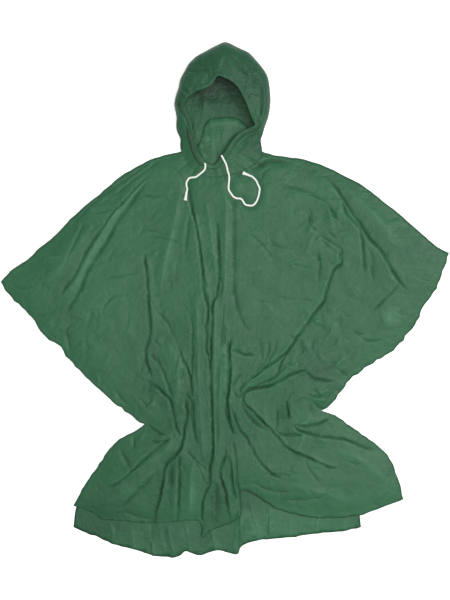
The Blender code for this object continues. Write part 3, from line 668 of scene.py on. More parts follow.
# Broad swells where air and gathered cloth lift the panel: centre, reach each way and height, in mm.
SWELLS = (
    (-10, 320, 130, 70, 7), (0, 150, 260, 150, 6), (-380, 60, 130, 130, 4), (380, 60, 130, 130, 4),
    (-20, -150, 120, 150, 9), (190, -230, 90, 80, 9), (-180, -400, 130, 90, 8), (0, -430, 150, 130, 9),
    (220, -430, 160, 90, 7),
)
LEFT_WING_CREASES = (
    (12, 4, -4.5, ((-192, 311), (-225, 278), (-252, 246), (-282, 216), (-305, 181), (-330, 146), (-355, 103),
        (-372, 66), (-392, 38), (-412, 13))),
    (4, 12, -4.5, ((-195, 296), (-248, 223), (-270, 193), (-295, 146), (-325, 101), (-345, 66), (-360, 28),
        (-382, -9), (-400, -37))),
    (8, 8, 3, ((-210, 286), (-258, 238), (-290, 196), (-318, 146), (-345, 98), (-368, 53), (-392, 11))),
    (14, 5, -3, ((-188, 343), (-238, 308), (-275, 283), (-325, 246), (-375, 196))),
    (5, 9, -2.2, ((-160, 352), (-215, 312), (-262, 274), (-312, 240))),
    (16, 16, 3, ((-332, 196), (-375, 126), (-450, 38))),
    (4, 9, -2.4, ((-352, 196), (-372, 150), (-388, 118), (-402, 80))),
    (4, 8, -3, ((-372, -54), (-395, -74), (-390, -112), (-388, -129))),
    (3, 7, -1.8, ((-305, 53), (-252, 61), (-218, 71))),
    (3, 7, -1.8, ((-308, -27), (-282, 6), (-252, 11))),
    (4, 8, -1.6, ((-330, 218), (-282, 223))),
    (4, 6, -1.8, ((-202, 161), (-168, 158), (-132, 148), (-110, 146))),
    (4, 9, -2.2, ((-205, 176), (-170, 172), (-140, 160))),
    (4, 8, -1.8, ((-545, 46), (-510, 30), (-478, 36))),
    (5, 9, -2.4, ((-212, 268), (-180, 258), (-150, 262))),
)
RIGHT_WING_CREASES = (
    (4, 11, -6, ((250, 316), (278, 278), (298, 248), (318, 216), (338, 188), (362, 151), (385, 128),
        (402, 101), (420, 68), (438, 43), (455, 26))),
    (3.5, 9, -4.5, ((290, 256), (302, 213), (330, 186), (340, 158), (345, 111), (348, 63))),
    (4, 4, 4, ((290, 253), (310, 218), (330, 193))),
    (14, 14, 3.5, ((278, 301), (328, 256), (388, 196), (438, 131))),
    (4, 8, -3, ((138, 284), (162, 281), (200, 273), (228, 258), (250, 246), (268, 221), (280, 200))),
    (3, 6, 2.5, ((152, 266), (192, 261), (235, 251), (255, 236), (262, 208), (270, 173))),
    (5, 6, -2.2, ((202, 223), (210, 203), (222, 186))),
    (3, 6, -3, ((206, 232), (214, 214), (208, 196), (222, 180), (234, 168))),
    (3, 7, -3, ((234, 168), (248, 156), (262, 146), (282, 134), (290, 120), (280, 100))),
    (3, 7, -2.6, ((246, 186), (262, 168), (278, 156))),
    (3, 6, -2.4, ((262, 232), (272, 210), (292, 186))),
    (4, 6, -2.4, ((240, 151), (258, 133), (285, 116))),
    (3, 6, -3, ((438, 48), (418, 21), (388, -7), (368, -29))),
    (5, 12, -2.6, ((352, 132), (368, 104), (366, 66), (372, 34))),
    (3, 7, -2.6, ((316, -76), (334, -84), (352, -82))),
    (3, 7, -3, ((330, -90), (352, -100), (372, -102), (392, -96))),
    (3, 6, -2, ((286, -20), (304, -38), (330, -40))),
    (20, 20, 3.5, ((418, -44), (388, -54))),
)
CHEST_CREASES = (
    (10, 14, 4, ((-112, 271), (-130, 176), (-150, 96), (-162, 21))),
    (3, 8, -6, ((-96, 305), (-92, 281), (-85, 238), (-72, 181), (-63, 128), (-56, 66), (-54, 26), (-47, -1),
        (-42, -22), (-44, -45), (-48, -68), (-45, -95), (-48, -120), (-41, -138), (-38, -155))),
    (4, 4, -7, ((-20, 196), (-15, 118), (-14, 60), (-18, 26), (-22, 9), (-30, -8), (-33, -20), (-31, -43),
        (-32, -68), (-35, -99), (-35, -130), (-37, -161), (-36, -192), (-35, -223), (-33, -254), (-32, -299),
        (-31, -324), (-30, -351), (-29, -371), (-32, -392), (-37, -413), (-38, -429), (-37, -450),
        (-41, -465), (-49, -481), (-55, -499), (-58, -537), (-57, -589))),
    (7, 7, -3, ((-32, -290), (-31, -324), (-30, -361), (-32, -392), (-37, -423))),
    (4, 5, 2.5, ((-75, 221), (-58, 136), (-48, 66), (-39, 6), (-38, -60))),
    (4, 9, -3, ((-88, 218), (-95, 158), (-102, 111))),
    (6, 7, -3.5, ((20, 263), (22, 188), (22, 111), (22, 26), (26, 5), (30, -22), (38, -45), (49, -64),
        (61, -76))),
    (3, 5, -3, ((-20, 66), (-8, 36), (-18, 6))),
    (8, 8, 3.5, ((2, 276), (2, 176), (0, 76), (-2, -12), (0, -80))),
    (8, 8, 3, ((-48, 251), (-35, 163), (-28, 81))),
    (4, 8, -2.8, ((58, 171), (88, 143), (102, 126), (120, 98))),
    (4, 6, -1.5, ((108, 168), (118, 141), (152, 131), (182, 126))),
    (3, 6, -2, ((155, 81), (175, 88), (220, 81))),
    (4, 5, -3, ((220, 116), (235, 101), (235, 71), (230, 41))),
    (3, 6, -1.6, ((65, 3), (112, -4))),
    (3, 6, -1.6, ((122, 11), (175, 3), (222, 1))),
    (7, 12, -5, ((168, 343), (140, 347), (112, 349), (88, 338), (62, 325))),
    (3, 8, -3, ((112, 330), (96, 318), (90, 300))),
    (4, 8, -2.4, ((-140, 340), (-118, 322), (-104, 300), (-98, 282))),
)
WAIST_CREASES = (
    (10, 4, -6, ((-201, 118), (-195, 61), (-193, 26), (-189, -26), (-186, -68), (-191, -103), (-198, -124),
        (-197, -149), (-190, -173), (-182, -194))),
    (3, 9, -7, ((-196, -205), (-182, -209), (-167, -219), (-150, -236), (-136, -250), (-132, -269),
        (-126, -299), (-121, -317), (-111, -340))),
    (3, 8, -4.5, ((-186, -132), (-169, -155), (-157, -173), (-148, -196), (-140, -219), (-132, -242))),
    (3, 5, -3, ((-179, -97), (-169, -109), (-161, -115))),
    (4, 6, -2.5, ((-175, -26), (-155, -43), (-140, -66), (-132, -82), (-123, -99), (-113, -124))),
    (7, 3, -6, ((-115, -120), (-103, -151), (-92, -173), (-86, -192), (-84, -207), (-83, -223), (-81, -242))),
    (3, 5, -3.5, ((-84, -53), (-81, -78), (-84, -103), (-81, -120), (-83, -151), (-83, -182), (-84, -198))),
    (12, 16, 4, ((-142, -99), (-125, -149), (-118, -204), (-122, -262))),
    (2.5, 2.5, 2.5, ((-92, -232), (-82, -246), (-78, -251))),
    (3, 3, -4, ((-95, -242), (-87, -246), (-82, -261))),
    (3, 10, -6.5, ((-80, -245), (-81, -268), (-81, -288), (-79, -309), (-77, -330), (-74, -346),
        (-72, -357))),
    (8, 6, 3, ((-71, -257), (-70, -299), (-68, -328))),
    (3, 5, -5.5, ((-196, -307), (-186, -315), (-173, -326), (-159, -334), (-148, -335))),
    (4, 5, -5, ((-188, -351), (-171, -353), (-155, -352), (-142, -349), (-139, -340))),
    (4, 4, 3, ((-163, -339), (-157, -337), (-151, -338))),
    (4, 6, -3.5, ((-275, -226), (-265, -239), (-254, -251), (-244, -255))),
    (4, 5, -3.5, ((-223, -237), (-209, -249), (-198, -264), (-194, -274))),
    (5, 5, -2, ((1, 26), (-3, -16), (-7, -57), (-12, -120))),
    (6, 5, -2.5, ((-14, -136), (-16, -171), (-18, -213), (-19, -244), (-20, -285), (-18, -320), (-19, -392))),
    (8, 8, 3, ((-72, 26), (-70, -64), (-68, -144), (-65, -222), (-60, -309), (-55, -397))),
    (7, 6, 3.5, ((-24, 20), (-26, -44), (-27, -124), (-26, -224), (-25, -324), (-26, -392))),
    (3, 3, 5, ((4, -60), (4, -110), (5, -150), (4, -200), (3, -237))),
    (8, 3, -8, ((14, -97), (11, -126), (12, -151), (14, -173), (12, -198), (10, -223), (6, -250), (5, -282),
        (9, -299), (15, -315), (21, -332))),
    (6, 6, -4, ((7, -253), (8, -282), (12, -307))),
    (3, 5, -4.5, ((12, -123), (22, -126), (34, -130), (47, -135), (61, -136), (76, -137))),
    (4, 5, 4, ((18, -114), (30, -116), (46, -120))),
    (5, 5, 2.5, ((53, -128), (73, -125), (88, -120))),
    (3, 3, -4, ((40, -184), (30, -194), (22, -209), (20, -219), (22, -227), (30, -238), (36, -236))),
    (3, 3, -4, ((51, -202), (42, -215), (38, -225), (37, -232))),
    (6, 6, 5, ((153, -135), (141, -147), (120, -164), (99, -177), (79, -192), (58, -209), (48, -222),
        (38, -235))),
    (3, 8, -6.5, ((290, 111), (290, 93), (272, 78), (262, 51), (252, 21), (245, -4), (225, -29), (193, -74),
        (178, -93), (166, -112), (157, -124), (147, -135), (133, -145), (116, -157), (99, -166), (85, -180),
        (70, -190), (61, -194))),
    (3, 3, -5.5, ((157, -128), (149, -141), (141, -153), (137, -166), (132, -180), (124, -190), (112, -198),
        (101, -202), (87, -210), (75, -217), (64, -222))),
    (5, 4, 3.5, ((182, -157), (162, -166), (145, -178), (130, -195), (118, -203), (104, -210))),
    (6, 3, -7, ((203, -174), (182, -178), (162, -186), (141, -199), (124, -207), (108, -215), (91, -217),
        (79, -220), (66, -222), (56, -226), (48, -234), (45, -246), (48, -257), (62, -269), (75, -282),
        (87, -294), (97, -305), (108, -315), (120, -327), (133, -342), (145, -358), (162, -371),
        (182, -381), (203, -389), (224, -399), (250, -412), (278, -419))),
    (3, 5, -4.5, ((43, -246), (45, -265), (52, -280), (62, -294), (75, -307), (91, -317), (108, -323),
        (118, -328))),
    (3.5, 3.5, 3, ((58, -267), (70, -284), (85, -300), (99, -313))),
    (3, 3, -4, ((24, -229), (28, -237), (35, -242), (42, -237))),
    (3, 4, -5.5, ((10, -255), (16, -271), (25, -292), (31, -313), (39, -327), (52, -342), (62, -360),
        (70, -375), (83, -399), (95, -412), (112, -429), (138, -444))),
    (3, 3, 3, ((14, -273), (23, -302), (35, -334))),
    (5, 4, -4, ((8, -253), (9, -278), (14, -307), (21, -336))),
    (3, 4, -4.5, ((128, -271), (130, -292), (129, -313), (127, -326), (139, -335), (162, -337), (182, -336),
        (195, -336))),
    (3, 9, -7, ((151, -249), (155, -267), (157, -282), (156, -298))),
    (3, 3, 2.5, ((163, -271), (164, -282), (163, -292))),
    (3, 3, -3, ((174, -225), (162, -238), (154, -251))),
    (7, 3, -5, ((168, -309), (182, -313), (203, -313), (224, -309), (244, -302), (261, -294))),
    (3, 6, -6, ((170, -311), (178, -321), (195, -329), (215, -334), (240, -340), (265, -343), (300, -348),
        (335, -362), (352, -369), (372, -372))),
    (5, 3, -5, ((201, -174), (209, -184), (222, -193), (240, -197), (261, -201), (276, -204))),
    (4, 6, -4, ((284, -172), (292, -180), (307, -188))),
    (3, 4, -3, ((274, -161), (259, -168), (244, -176))),
    (5, 5, 2.5, ((230, -120), (238, -141), (244, -157))),
    (4, 3, -3, ((203, -233), (220, -238), (240, -240), (255, -240))),
    (3, 5, -4.5, ((220, -255), (234, -267), (244, -270), (251, -269))),
    (4, 4, -4, ((211, -269), (218, -279), (222, -284))),
    (4, 4, 3, ((207, -240), (230, -247), (255, -253))),
    (5, 6, -2.2, ((75, -91), (87, -105), (91, -126), (91, -151), (81, -166), (66, -178))),
    (5, 5, -3, ((108, -101), (110, -122), (104, -143), (95, -159), (79, -174), (66, -188))),
    (5, 5, -2.2, ((124, -89), (128, -112), (120, -130), (108, -151), (99, -164))),
)
SKIRT_CREASES = (
    (14, 14, 3, ((262, -369), (342, -399), (402, -454))),
    (16, 16, 3, ((162, -454), (238, -479), (318, -504))),
    (4, 7, -2, ((95, -432), (138, -434), (188, -434))),
    (4, 6, -1.8, ((195, -394), (215, -429), (238, -462))),
    (4, 6, -1.8, ((308, -404), (342, -409))),
    (5, 7, -2, ((152, -499), (212, -497), (262, -482))),
    (5, 8, -2, ((62, -449), (108, -474), (168, -479))),
    (10, 12, 4, ((-132, -319), (-140, -362), (-168, -389), (-202, -412), (-242, -434), (-292, -459))),
    (3, 7, -5.5, ((-142, -346), (-159, -359), (-175, -373), (-192, -388), (-207, -401), (-219, -413),
        (-234, -427), (-268, -455), (-300, -470))),
    (10, 10, 3, ((-168, -407), (-212, -449), (-268, -489), (-322, -519))),
    (4, 9, -4, ((-174, -430), (-192, -450), (-213, -472), (-234, -492), (-262, -520))),
    (7, 9, -3.5, ((-265, -367), (-254, -388), (-242, -407), (-231, -417))),
    (4, 6, -2.5, ((-225, -340), (-228, -355), (-225, -373))),
    (5, 6, -3, ((-278, -532), (-242, -532), (-218, -542), (-182, -547))),
    (7, 3, -7.5, ((-99, -247), (-96, -268), (-93, -282), (-98, -303), (-101, -320), (-102, -336),
        (-105, -351), (-109, -367), (-117, -380), (-126, -390), (-138, -400), (-146, -411), (-151, -423),
        (-153, -442), (-155, -460), (-159, -475), (-163, -499), (-172, -527), (-178, -569))),
    (3, 10, -6, ((-115, -384), (-114, -413), (-114, -444), (-115, -475), (-116, -499), (-118, -540),
        (-120, -562))),
    (7, 9, -5, ((-133, -410), (-135, -440), (-137, -470))),
    (10, 9, 5, ((-85, -409), (-85, -474), (-88, -537))),
    (3, 4, -3.5, ((-99, -373), (-82, -390), (-68, -405), (-55, -415), (-46, -428))),
    (3, 3, -2.5, ((-70, -409), (-61, -427), (-55, -444), (-50, -456))),
    (8, 3, -7, ((3, -373), (1, -388), (-6, -407), (-12, -423), (-10, -440), (-6, -454), (1, -475),
        (5, -499), (8, -520), (12, -549))),
    (3, 7, -5.5, ((4, -382), (11, -398), (15, -419), (16, -440), (19, -465), (24, -485), (28, -499))),
    (4, 3, -3.5, ((21, -351), (24, -371), (28, -402), (30, -444), (36, -475), (40, -499))),
    (3, 3, 3, ((18, -394), (21, -423), (25, -465))),
    (9, 10, -5, ((-24, -452), (-22, -499), (-25, -574))),
    (14, 14, -3, ((-36, -478), (-34, -520), (-36, -570))),
)
PUCKERS = (                  # short creases that cross the seam to the hood
    (3, 4, -2.5, ((-84, 352), (-100, 338), (-118, 322))),
    (3, 4, -2.5, ((-70, 338), (-80, 320), (-88, 300))),
    (3, 3, 2, ((-56, 330), (-64, 312), (-66, 290))),
    (3, 4, -3, ((-38, 341), (-30, 322), (-21, 300))),
    (3, 4, -2.5, ((-12, 336), (-6, 318), (2, 296))),
    (3, 4, -2.5, ((22, 338), (28, 322), (38, 304))),
    (3, 3, 2, ((40, 346), (52, 332), (66, 318))),
    (4, 5, -3, ((56, 356), (76, 342), (98, 330))),
    (3, 4, -2, ((76, 372), (96, 362), (118, 352))),
)
HIGHLIGHT_SPOT = (414, -36, 24, 0.3)   # a painted highlight on the right wing, where the sheet shines: centre, radius in mm and how pale
GATHERING = 0.35             # strength of the fine pleats where the panel is drawn in
WAIST = (-30, -240, 210, 330)               # centre of that place and its reach across and along, mm
CUT_WIDTH = 1.2              # metres, the flat sheet's width
SOFTNESS = 2.5               # mm, how gently the panel comes down to where it rests
UNDULATION = ((70.0, 1.1), (32.0, 0.5))     # pitch and height of the panel's slow unevenness, mm
EDGE_DROOP = (1.4, 3.0)      # mm, how far the free edge sinks, and over what width
LIFT = (5.0, 28.0)           # mm, how far the air under it lifts it, and over what width from its edges
PLAIN_HEM = (-500, -30)      # mm, y below which and x left of which the edge is plain, eased in over 20 mm
CORD_REACH = 9.0             # mm, how far off a cord the sheet comes up to it


def undulation(x, y):
    """Slow unevenness: heights drawn at random on a square lattice, joined by a cosine's smooth steps."""
    rng = np.random.default_rng(7)
    total = np.zeros_like(x)
    for pitch, height in UNDULATION:
        lattice = rng.uniform(-1, 1, (64, 64))
        u, v = x / pitch + 32, y / pitch + 32
        i, j = np.floor(u).astype(int), np.floor(v).astype(int)
        p, q = (0.5 - 0.5 * np.cos(np.pi * (part - whole)) for part, whole in ((u, i), (v, j)))
        near = lattice[i, j] * (1 - p) + lattice[i + 1, j] * p
        far = lattice[i, j + 1] * (1 - p) + lattice[i + 1, j + 1] * p
        total += height * (near * (1 - q) + far * q)
    return total


def small_creases(count, low, high, centre, reach, depth, seed):
    """Rows for short creases: slightly bent lines at random places, that mostly run away from a centre.

    low and high are the corners of the box that they lie in, reach is the longest half length and depth the
    greatest height, in mm.
    """
    rng = np.random.default_rng(seed)
    rows = []
    for _ in range(count):
        middle = rng.uniform(low, high)
        way = np.arctan2(*(middle - centre)[::-1]) + rng.normal(0, 0.7)
        along = np.array((np.cos(way), np.sin(way))) * rng.uniform(0.25, 1) * reach
        bend = np.array((-along[1], along[0])) * rng.uniform(-0.3, 0.3)
        width = rng.uniform(3.2, 6)
        height = rng.uniform(0.35, 1) * depth * rng.choice((-1, 1))
        points = (middle - along, middle + bend, middle + along)
        rows.append((width, width * rng.uniform(0.7, 2), height, points))
    return rows


LARGE_CREASES = (
    *LEFT_WING_CREASES, *RIGHT_WING_CREASES, *CHEST_CREASES, *WAIST_CREASES, *SKIRT_CREASES, *PUCKERS,
)
FRONT_CREASES = (            # with short ones all over, at both sides of the waist and on the right wing
    *LARGE_CREASES,
    *small_creases(260, (-480, -520), (480, 300), (0, 360), 36, 2, 21),
    *small_creases(50, (130, -350), (330, -40), (240, -275), 26, 3.6, 23),
    *small_creases(30, (-240, -350), (-90, -120), (-200, -310), 24, 3.2, 24),
    *small_creases(30, (150, 90), (300, 260), (230, 200), 24, 3, 25),
)
cord_line = np.vstack([smooth(route, np.linspace(0, 1, round(length_of(route) / 0.004))) / MM
                       for route in (LEFT_CORD, RIGHT_CORD)])


def under_cord(x, y):
    """Height that keeps a sheet just under the nearest point of the cords, and how far off that point is."""
    away = np.full(x.shape, 1e3)
    level = np.zeros_like(x)
    near = (np.abs(x) < 160) & (y > 180) & (y < 420)
    if near.any():
        gap = np.hypot(x[near][:, None] - cord_line[:, 0], y[near][:, None] - cord_line[:, 1])
        best = gap.argmin(axis=1)
        away[near] = gap.min(axis=1)
        level[near] = cord_line[best, 2] - CORD / 2 - 0.15
    return level, away


def front_top(x, y, lift=0.0):
    """Top of the front panel: swells, creases and unevenness, kept above where it rests by a soft maximum.

    soft maximum of h and 0 = (h + root of (h^2 + softness^2)) / 2. Beside a cord it lies against the cord.
    """
    rest = WALL + (back_top(x, y) - SHEET) * COVER + LAYER_GAP + WALL
    height = add_up(x, y, SWELLS) + creases(x, y, FRONT_CREASES)[0] + undulation(x, y) + lift
    top = rest + (height + np.sqrt(height**2 + SOFTNESS**2)) / 2 - SOFTNESS / 4
    level, away = under_cord(x, y)
    return top + (level - top) * np.exp(-(away / CORD_REACH)**2)


def hood_lines():
    """Edge of the face opening with its height, outline, and whether it is the neckline, at every station."""
    rows = np.array(HOOD_SECTIONS, dtype=float)
    station = np.arange(len(rows) * HOOD_STATIONS) / HOOD_STATIONS
    row = station.astype(int)
    before, here, following, after = (rows[(row + step) % len(rows)] for step in (-1, 0, 1, 2))
    section = catmull_rom(before, here, following, after, (station - row)[:, None])
    neck = (here[:, 5] > 0) & ((following[:, 5] > 0) | (station == row))
    return section[:, :2], section[:, 2], section[:, 3:5], neck


def neck_order(neck):
    """Stations over the neck, from the left end of the shoulders, under the throat, to the right."""
    first = np.flatnonzero(neck & ~np.roll(neck, 1))[0]
    return ((first + np.arange(neck.sum())) % len(neck))[::-1]


def front_surface(x, y):
    """The front panel's height and layers: tone, strength of the fine pleats, and the sheet's own cut.

    The tone is painted light and shade: that of the creases and broad places, with painted shade along the
    cut edge and a painted highlight on the glossy spot. The hem's left half is plain: its edge has hardly any
    painted dark line and comes down up to four times as gently. In the cut, across is the share of the
    panel's width at that level, in metres of the flat sheet, and along is y.
    """
    edge = from_outline(x, y, front_outline[::2])
    plain = np.clip((PLAIN_HEM[0] - y) / 20, 0, 1) * np.clip((PLAIN_HEM[1] - x) / 20, 0, 1)
    plain = 1 - 0.95 * plain
    droop = EDGE_DROOP[0] * np.exp(-(edge / (EDGE_DROOP[1] * (4 - 3 * plain)))**2)
    lift = LIFT[0] * (1 - np.exp(-(edge / LIFT[1])**2))
    left, right = (np.interp(-y, -side[:, 1], side[:, 0]) for side in (left_side, right_side))
    gather = GATHERING * np.exp(-((x - WAIST[0]) / WAIST[2])**2 - np.abs((y - WAIST[1]) / WAIST[3])**3)
    # painted highlight, where the sheet shines
    highlight_spot = HIGHLIGHT_SPOT[3] * np.exp(-(np.hypot(x - HIGHLIGHT_SPOT[0], y - HIGHLIGHT_SPOT[1]) / HIGHLIGHT_SPOT[2])**4)
    painted_light, layers = broad_light_and_shade(x, y)
    # painted shade along the cut edge
    line = EDGE_SHADE * plain * np.exp(-(edge / EDGE_WIDTH)**2)
    tone = creases(x, y, FRONT_CREASES)[1] + painted_light - highlight_spot + line
    return front_top(x, y, lift) - droop, {
        "fold": tone, "layers": layers, "gather": gather,
        "across": CUT_WIDTH * (x - left) / (right - left), "along": y * MM}


face, face_z, rim, neck = hood_lines()
throat = moved_out(smooth(rim[neck_order(neck)], np.linspace(0, 1, 45)), -SEAM_GAP)
left_side = np.array((*LEFT_WING_EDGE, *LEFT_SKIRT_EDGE), dtype=float)
right_side = np.array((*RIGHT_WING_EDGE, *RIGHT_SKIRT_EDGE), dtype=float)
front_outline = closed_line((
    uneven(LEFT_SHOULDER, 0.8, 1), throat, uneven(RIGHT_SHOULDER[::-1], 0.8, 2),
    uneven(RIGHT_WING_EDGE, 2.6, 3), uneven(RIGHT_SKIRT_EDGE, 1.4, 4), uneven(FRONT_HEM[::-1], 1.2, 5),
    uneven(LEFT_SKIRT_EDGE[::-1], 1.4, 6), uneven(LEFT_WING_EDGE[::-1], 2.2, 7),
))
front = sheet_of("body_front", front_outline, LARGE_CREASES, FRONT_PITCH, front_surface, sheet_finish)
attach(front, "root")
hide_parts("front_panel")

# ----------------------------------------------------------------------------------------------------------
# Hood: joined round the neckline, lying open with its mouth up. The sheet at the face edge is turned in and
# welded down as the casing of the drawcord, and its lower edge laps over the body.
# ----------------------------------------------------------------------------------------------------------
HOOD_SIDE_HEIGHT = 11.0      # mm, height of the hood's widest ring
HOOD_FULLNESS = 2.3          # exponent of the curve from that ring up to the opening
HOOD_CENTRE = (-30, 590)     # where the rings of its back close: all of the seam is in sight from there
HOOD_LAP = 4.0               # mm, how far its lower edge laps over the front panel
HOOD_CLEARANCE = 0.45        # mm, how far above the front panel that edge lies
NECK_EASE = 3 * HOOD_STATIONS               # stations over which the front's slope eases into its curve
CASING_RINGS = 20            # rings over the casing, from there to the outline, and over the back
FRONT_RINGS = 30
BACK_RINGS = 20
CASING = (                   # the turned-in layer: inset from the face edge and height below it, mm
    (14.0, -1.8), (10.0, -1.7), (7.0, -2.0), (4.0, -2.2), (1.8, -2.0), (0.4, -1.5), (-0.4, -0.9),
    (-0.3, -0.3),
)
CASING_TILT = 0.12           # how much lower it gets for each mm of inset
CASING_SHADE = 0.5            # how deep the painted shade on the turned-in layer is
CASING_WIDTH = 15.0          # mm, as seen from outside
BEAD = (0.7, 6.0, 3.0)       # mm, the cord's bead in it: height, distance from the face edge and half width
WELD = (11.0, 1.8)           # mm, its weld line, 1 mm deep: distance from the face edge and half width
TOP = (500, 60, 0.3)         # bead and weld fade up towards this y, over that height in mm, to that share
WELD_TONE = 0.35             # how deep the colour is along it
BRIM_HIGHLIGHT = (0.8, 3.0)       # how pale the painted highlight along the top of the face edge is, and over what width in mm
OUTER_SHADE = (0.9, 4.0)      # how dark the painted shade along the outline is but at the neck, and over what width in mm
HOOD_SHADE = 0.55            # how much deeper the hood's colour is painted at its top, as painted shade
SHADE_FROM = (390, 110)      # mm, y from where it deepens, and over what height
CORD_ROOM = 0.03             # beside a cord it may rise past the cord's underside by this times distance^2
INSIDE_SHADE = 37.0          # mm, how far in from the face edge the painted shade of the hood's inside stays dark
HOOD_UNEVENNESS = 1.3        # mm, how far its outline is creased in and out
BACK_INSETS = (0.5, 1.2, 2, 3, 4.5, 6, 8, 10, 13)   # mm, rings in from the outline, down the side
HOOD_CRUMPLE = 0.85          # strength of its ripples
HOOD_CREASES = (
    (4, 9, -6, ((22, 600), (27, 591), (41, 572), (56, 551))),
    (8, 8, 5, ((2, 606), (18, 575), (34, 552))),
    (4, 10, -6, ((84, 551), (90, 528), (92, 496), (89, 465), (80, 438))),
    (6, 8, -4, ((-66, 592), (-46, 562), (-38, 545))),
    (7, 6, 4, ((-90, 566), (-66, 544), (-52, 535))),
    (3, 6, -5.5, ((-119, 496), (-107, 466), (-95, 448), (-88, 423), (-82, 400), (-76, 368), (-62, 346))),
    (5, 5, -3, ((76, 420), (60, 396), (40, 372), (20, 350))),
    (3, 4, -3.5, ((-114, 516), (-98, 499))),
    (3, 4, -3.5, ((-106, 528), (-90, 508))),
    (3, 4, -3, ((-95, 540), (-80, 518))),
    (3, 3, 3, ((-110, 522), (-94, 504))),
    (3, 3, 3, ((-101, 534), (-84, 514))),
    (3, 3, 3, ((-72, 530), (-60, 525), (-46, 528))),
    (4, 6, -3, ((-40, 610), (-34, 580), (-30, 552))),
    (5, 7, 3, ((-20, 618), (-16, 590), (-14, 566))),
    (4, 6, -2.5, ((60, 590), (72, 566), (78, 540))),
    (6, 5, 3, ((100, 540), (103, 505), (100, 470))),
    (3, 3, -4.5, ((70, 428), (47, 411), (27, 392))),
    (3, 3, 3.5, ((62, 414), (42, 397), (25, 379))),
    (3, 4, -3, ((-119, 440), (-113, 424), (-106, 408))),
    (3, 4, -2.5, ((84, 440), (74, 412), (66, 388))),
    (4, 9, -3.5, ((-100, 572), (-76, 566), (-52, 570), (-30, 562))),
    (4, 9, -3, ((-16, 630), (14, 600), (30, 590))),
    (3, 8, -3, ((62, 606), (58, 580), (70, 552), (66, 520))),
    (4, 9, -3.5, ((48, 380), (60, 404), (84, 412))),
)
HOOD_BACK_CREASES = (
    (5, 5, 4, ((-82, 450), (-72, 413), (-70, 381), (-62, 361))),
    (10, 12, 4, ((-70, 500), (-20, 490), (30, 480))),
    (8, 8, 4, ((-64, 530), (-52, 500), (-56, 466))),
    (9, 9, 3, ((10, 520), (20, 495), (30, 466))),
    (7, 7, 3, ((60, 520), (66, 490), (62, 452))),
)


def painted_inside_shade(place):
    """The painted shade of the inside as two columns, fold and layers: deepest under the top of the face
    edge.
    """
    away = np.hypot(*(place[:, None] - face).T).min(axis=0)
    depth = 0.1 + 0.9 * np.clip((0.7 * (place[:, 0] + 60) + place[:, 1] - 458) / 60, 0, 1)
    depth *= 1 - 0.75 * np.clip((place[:, 0] - 8) / 35, 0, 1)
    return np.column_stack((0.8 * depth * np.exp(-(away / INSIDE_SHADE)**2), 0.15 + 0.5 * depth))


def hood_front(outward, width, lap, flatness):
    """The front's rings, from the face edge out to the outline, with columns x, y, z, fold and layers.

    z = side + (face - side) (1 - share^n)^(1/n), eased over the neck into a straight slope down to the body.
    The casing adds a bead height exp(-((d - distance) / half width)^2) and a weld line, 1 mm down in the same
    way, with d from the face edge. Both are less along the top. Then come the creases. The tone is deeper
    along the weld, painted shade along the outline and a painted highlight along the brim, besides the
    painted light and shade of the creases and broad places; layers holds the painted shade that deepens to
    the top.
    """
    table = (*HOOD_CREASES, *PUCKERS, *small_creases(70, (-124, 400), (112, 630), (-8, 480), 24, 3.2, 22))
    neck_z = front_top(*(rim + outward * lap[:, None]).T) + HOOD_CLEARANCE
    side = np.clip((TOP[0] - face[:, 1]) / TOP[1], TOP[2], 1)
    near = np.linspace(0, CASING_WIDTH, CASING_RINGS)[None] / width[:, None]
    rest = 1 - (1 - np.linspace(0, 1, FRONT_RINGS + 1)[1:])**1.4
    rings = []
    for share in np.hstack((near, near[:, -1:] + (1 - near[:, -1:]) * rest)).T:
        distance = share * width + lap * share**6
        place = face + outward * distance[:, None]
        round_z = (1 - share**HOOD_FULLNESS)**(1 / HOOD_FULLNESS)
        round_z = HOOD_SIDE_HEIGHT + (face_z - HOOD_SIDE_HEIGHT) * round_z
        flat_z = neck_z + (face_z - neck_z) * (1 - share)
        z = round_z + (flat_z - round_z) * flatness
        bead = BEAD[0] * np.exp(-((distance - BEAD[1]) / BEAD[2])**2)
        weld = np.exp(-((distance - WELD[0]) / WELD[1])**2)
        inner = np.clip((1 - share) * 4, 0, 1)
        relief, tone = creases(*place.T, table)
        z = z + (side * (bead - weld) + (relief + undulation(*place.T)) * np.clip(share * 6, 0, 1)) * inner
        level, away = under_cord(*place.T)
        room = level + CORD_ROOM * away**2
        painted_light, layers = broad_light_and_shade(*place.T)
        # painted highlight along the top of the face edge
        brim_highlight = BRIM_HIGHLIGHT[0] * (1 - side) * np.exp(-(distance / BRIM_HIGHLIGHT[1])**2)
        tone += painted_light + WELD_TONE * side * weld - brim_highlight
        # painted shade along the outline
        tone += OUTER_SHADE[0] * ~neck * np.exp(-((width - distance) / OUTER_SHADE[1])**2)
        # painted shade, deeper towards the hood's top
        layers += HOOD_SHADE * np.clip((place[:, 1] - SHADE_FROM[0]) / SHADE_FROM[1], 0, 1)
        rings.append(np.column_stack((place, np.minimum(z, room), tone, layers)))
    return rings


def hood_back(order, side_z):
    """The back's rings, down the side and in along the table to the centre, in the same columns.

    z = side (1 - inset / last inset)^3 down the side, then what the creases lift. Over the neck the rings
    start at the seam, on the table.
    """
    centre = np.array(HOOD_CENTRE, dtype=float)
    behind = rim.copy()
    behind[order] = smooth(BACK_NECKLINE, np.linspace(0, 1, len(order)))
    inward = unit(centre - behind)
    rings = []
    for inset in BACK_INSETS:
        place = behind + inward * np.where(neck, inset - 0.4, inset)[:, None]
        z = np.where(neck, 0.0, side_z * (1 - inset / BACK_INSETS[-1])**3)
        rings.append(np.column_stack((place, z, painted_inside_shade(place))))
    last = rings[-1][:, :2]
    for share in np.linspace(0, 1, BACK_RINGS + 2)[1:-1]:
        place = last + (centre - last) * share
        rise = np.maximum(creases(*place.T, HOOD_BACK_CREASES)[0], 0) * np.clip(share * 6, 0, 1)
        rings.append(np.column_stack((place, rise, painted_inside_shade(place))))
    return rings


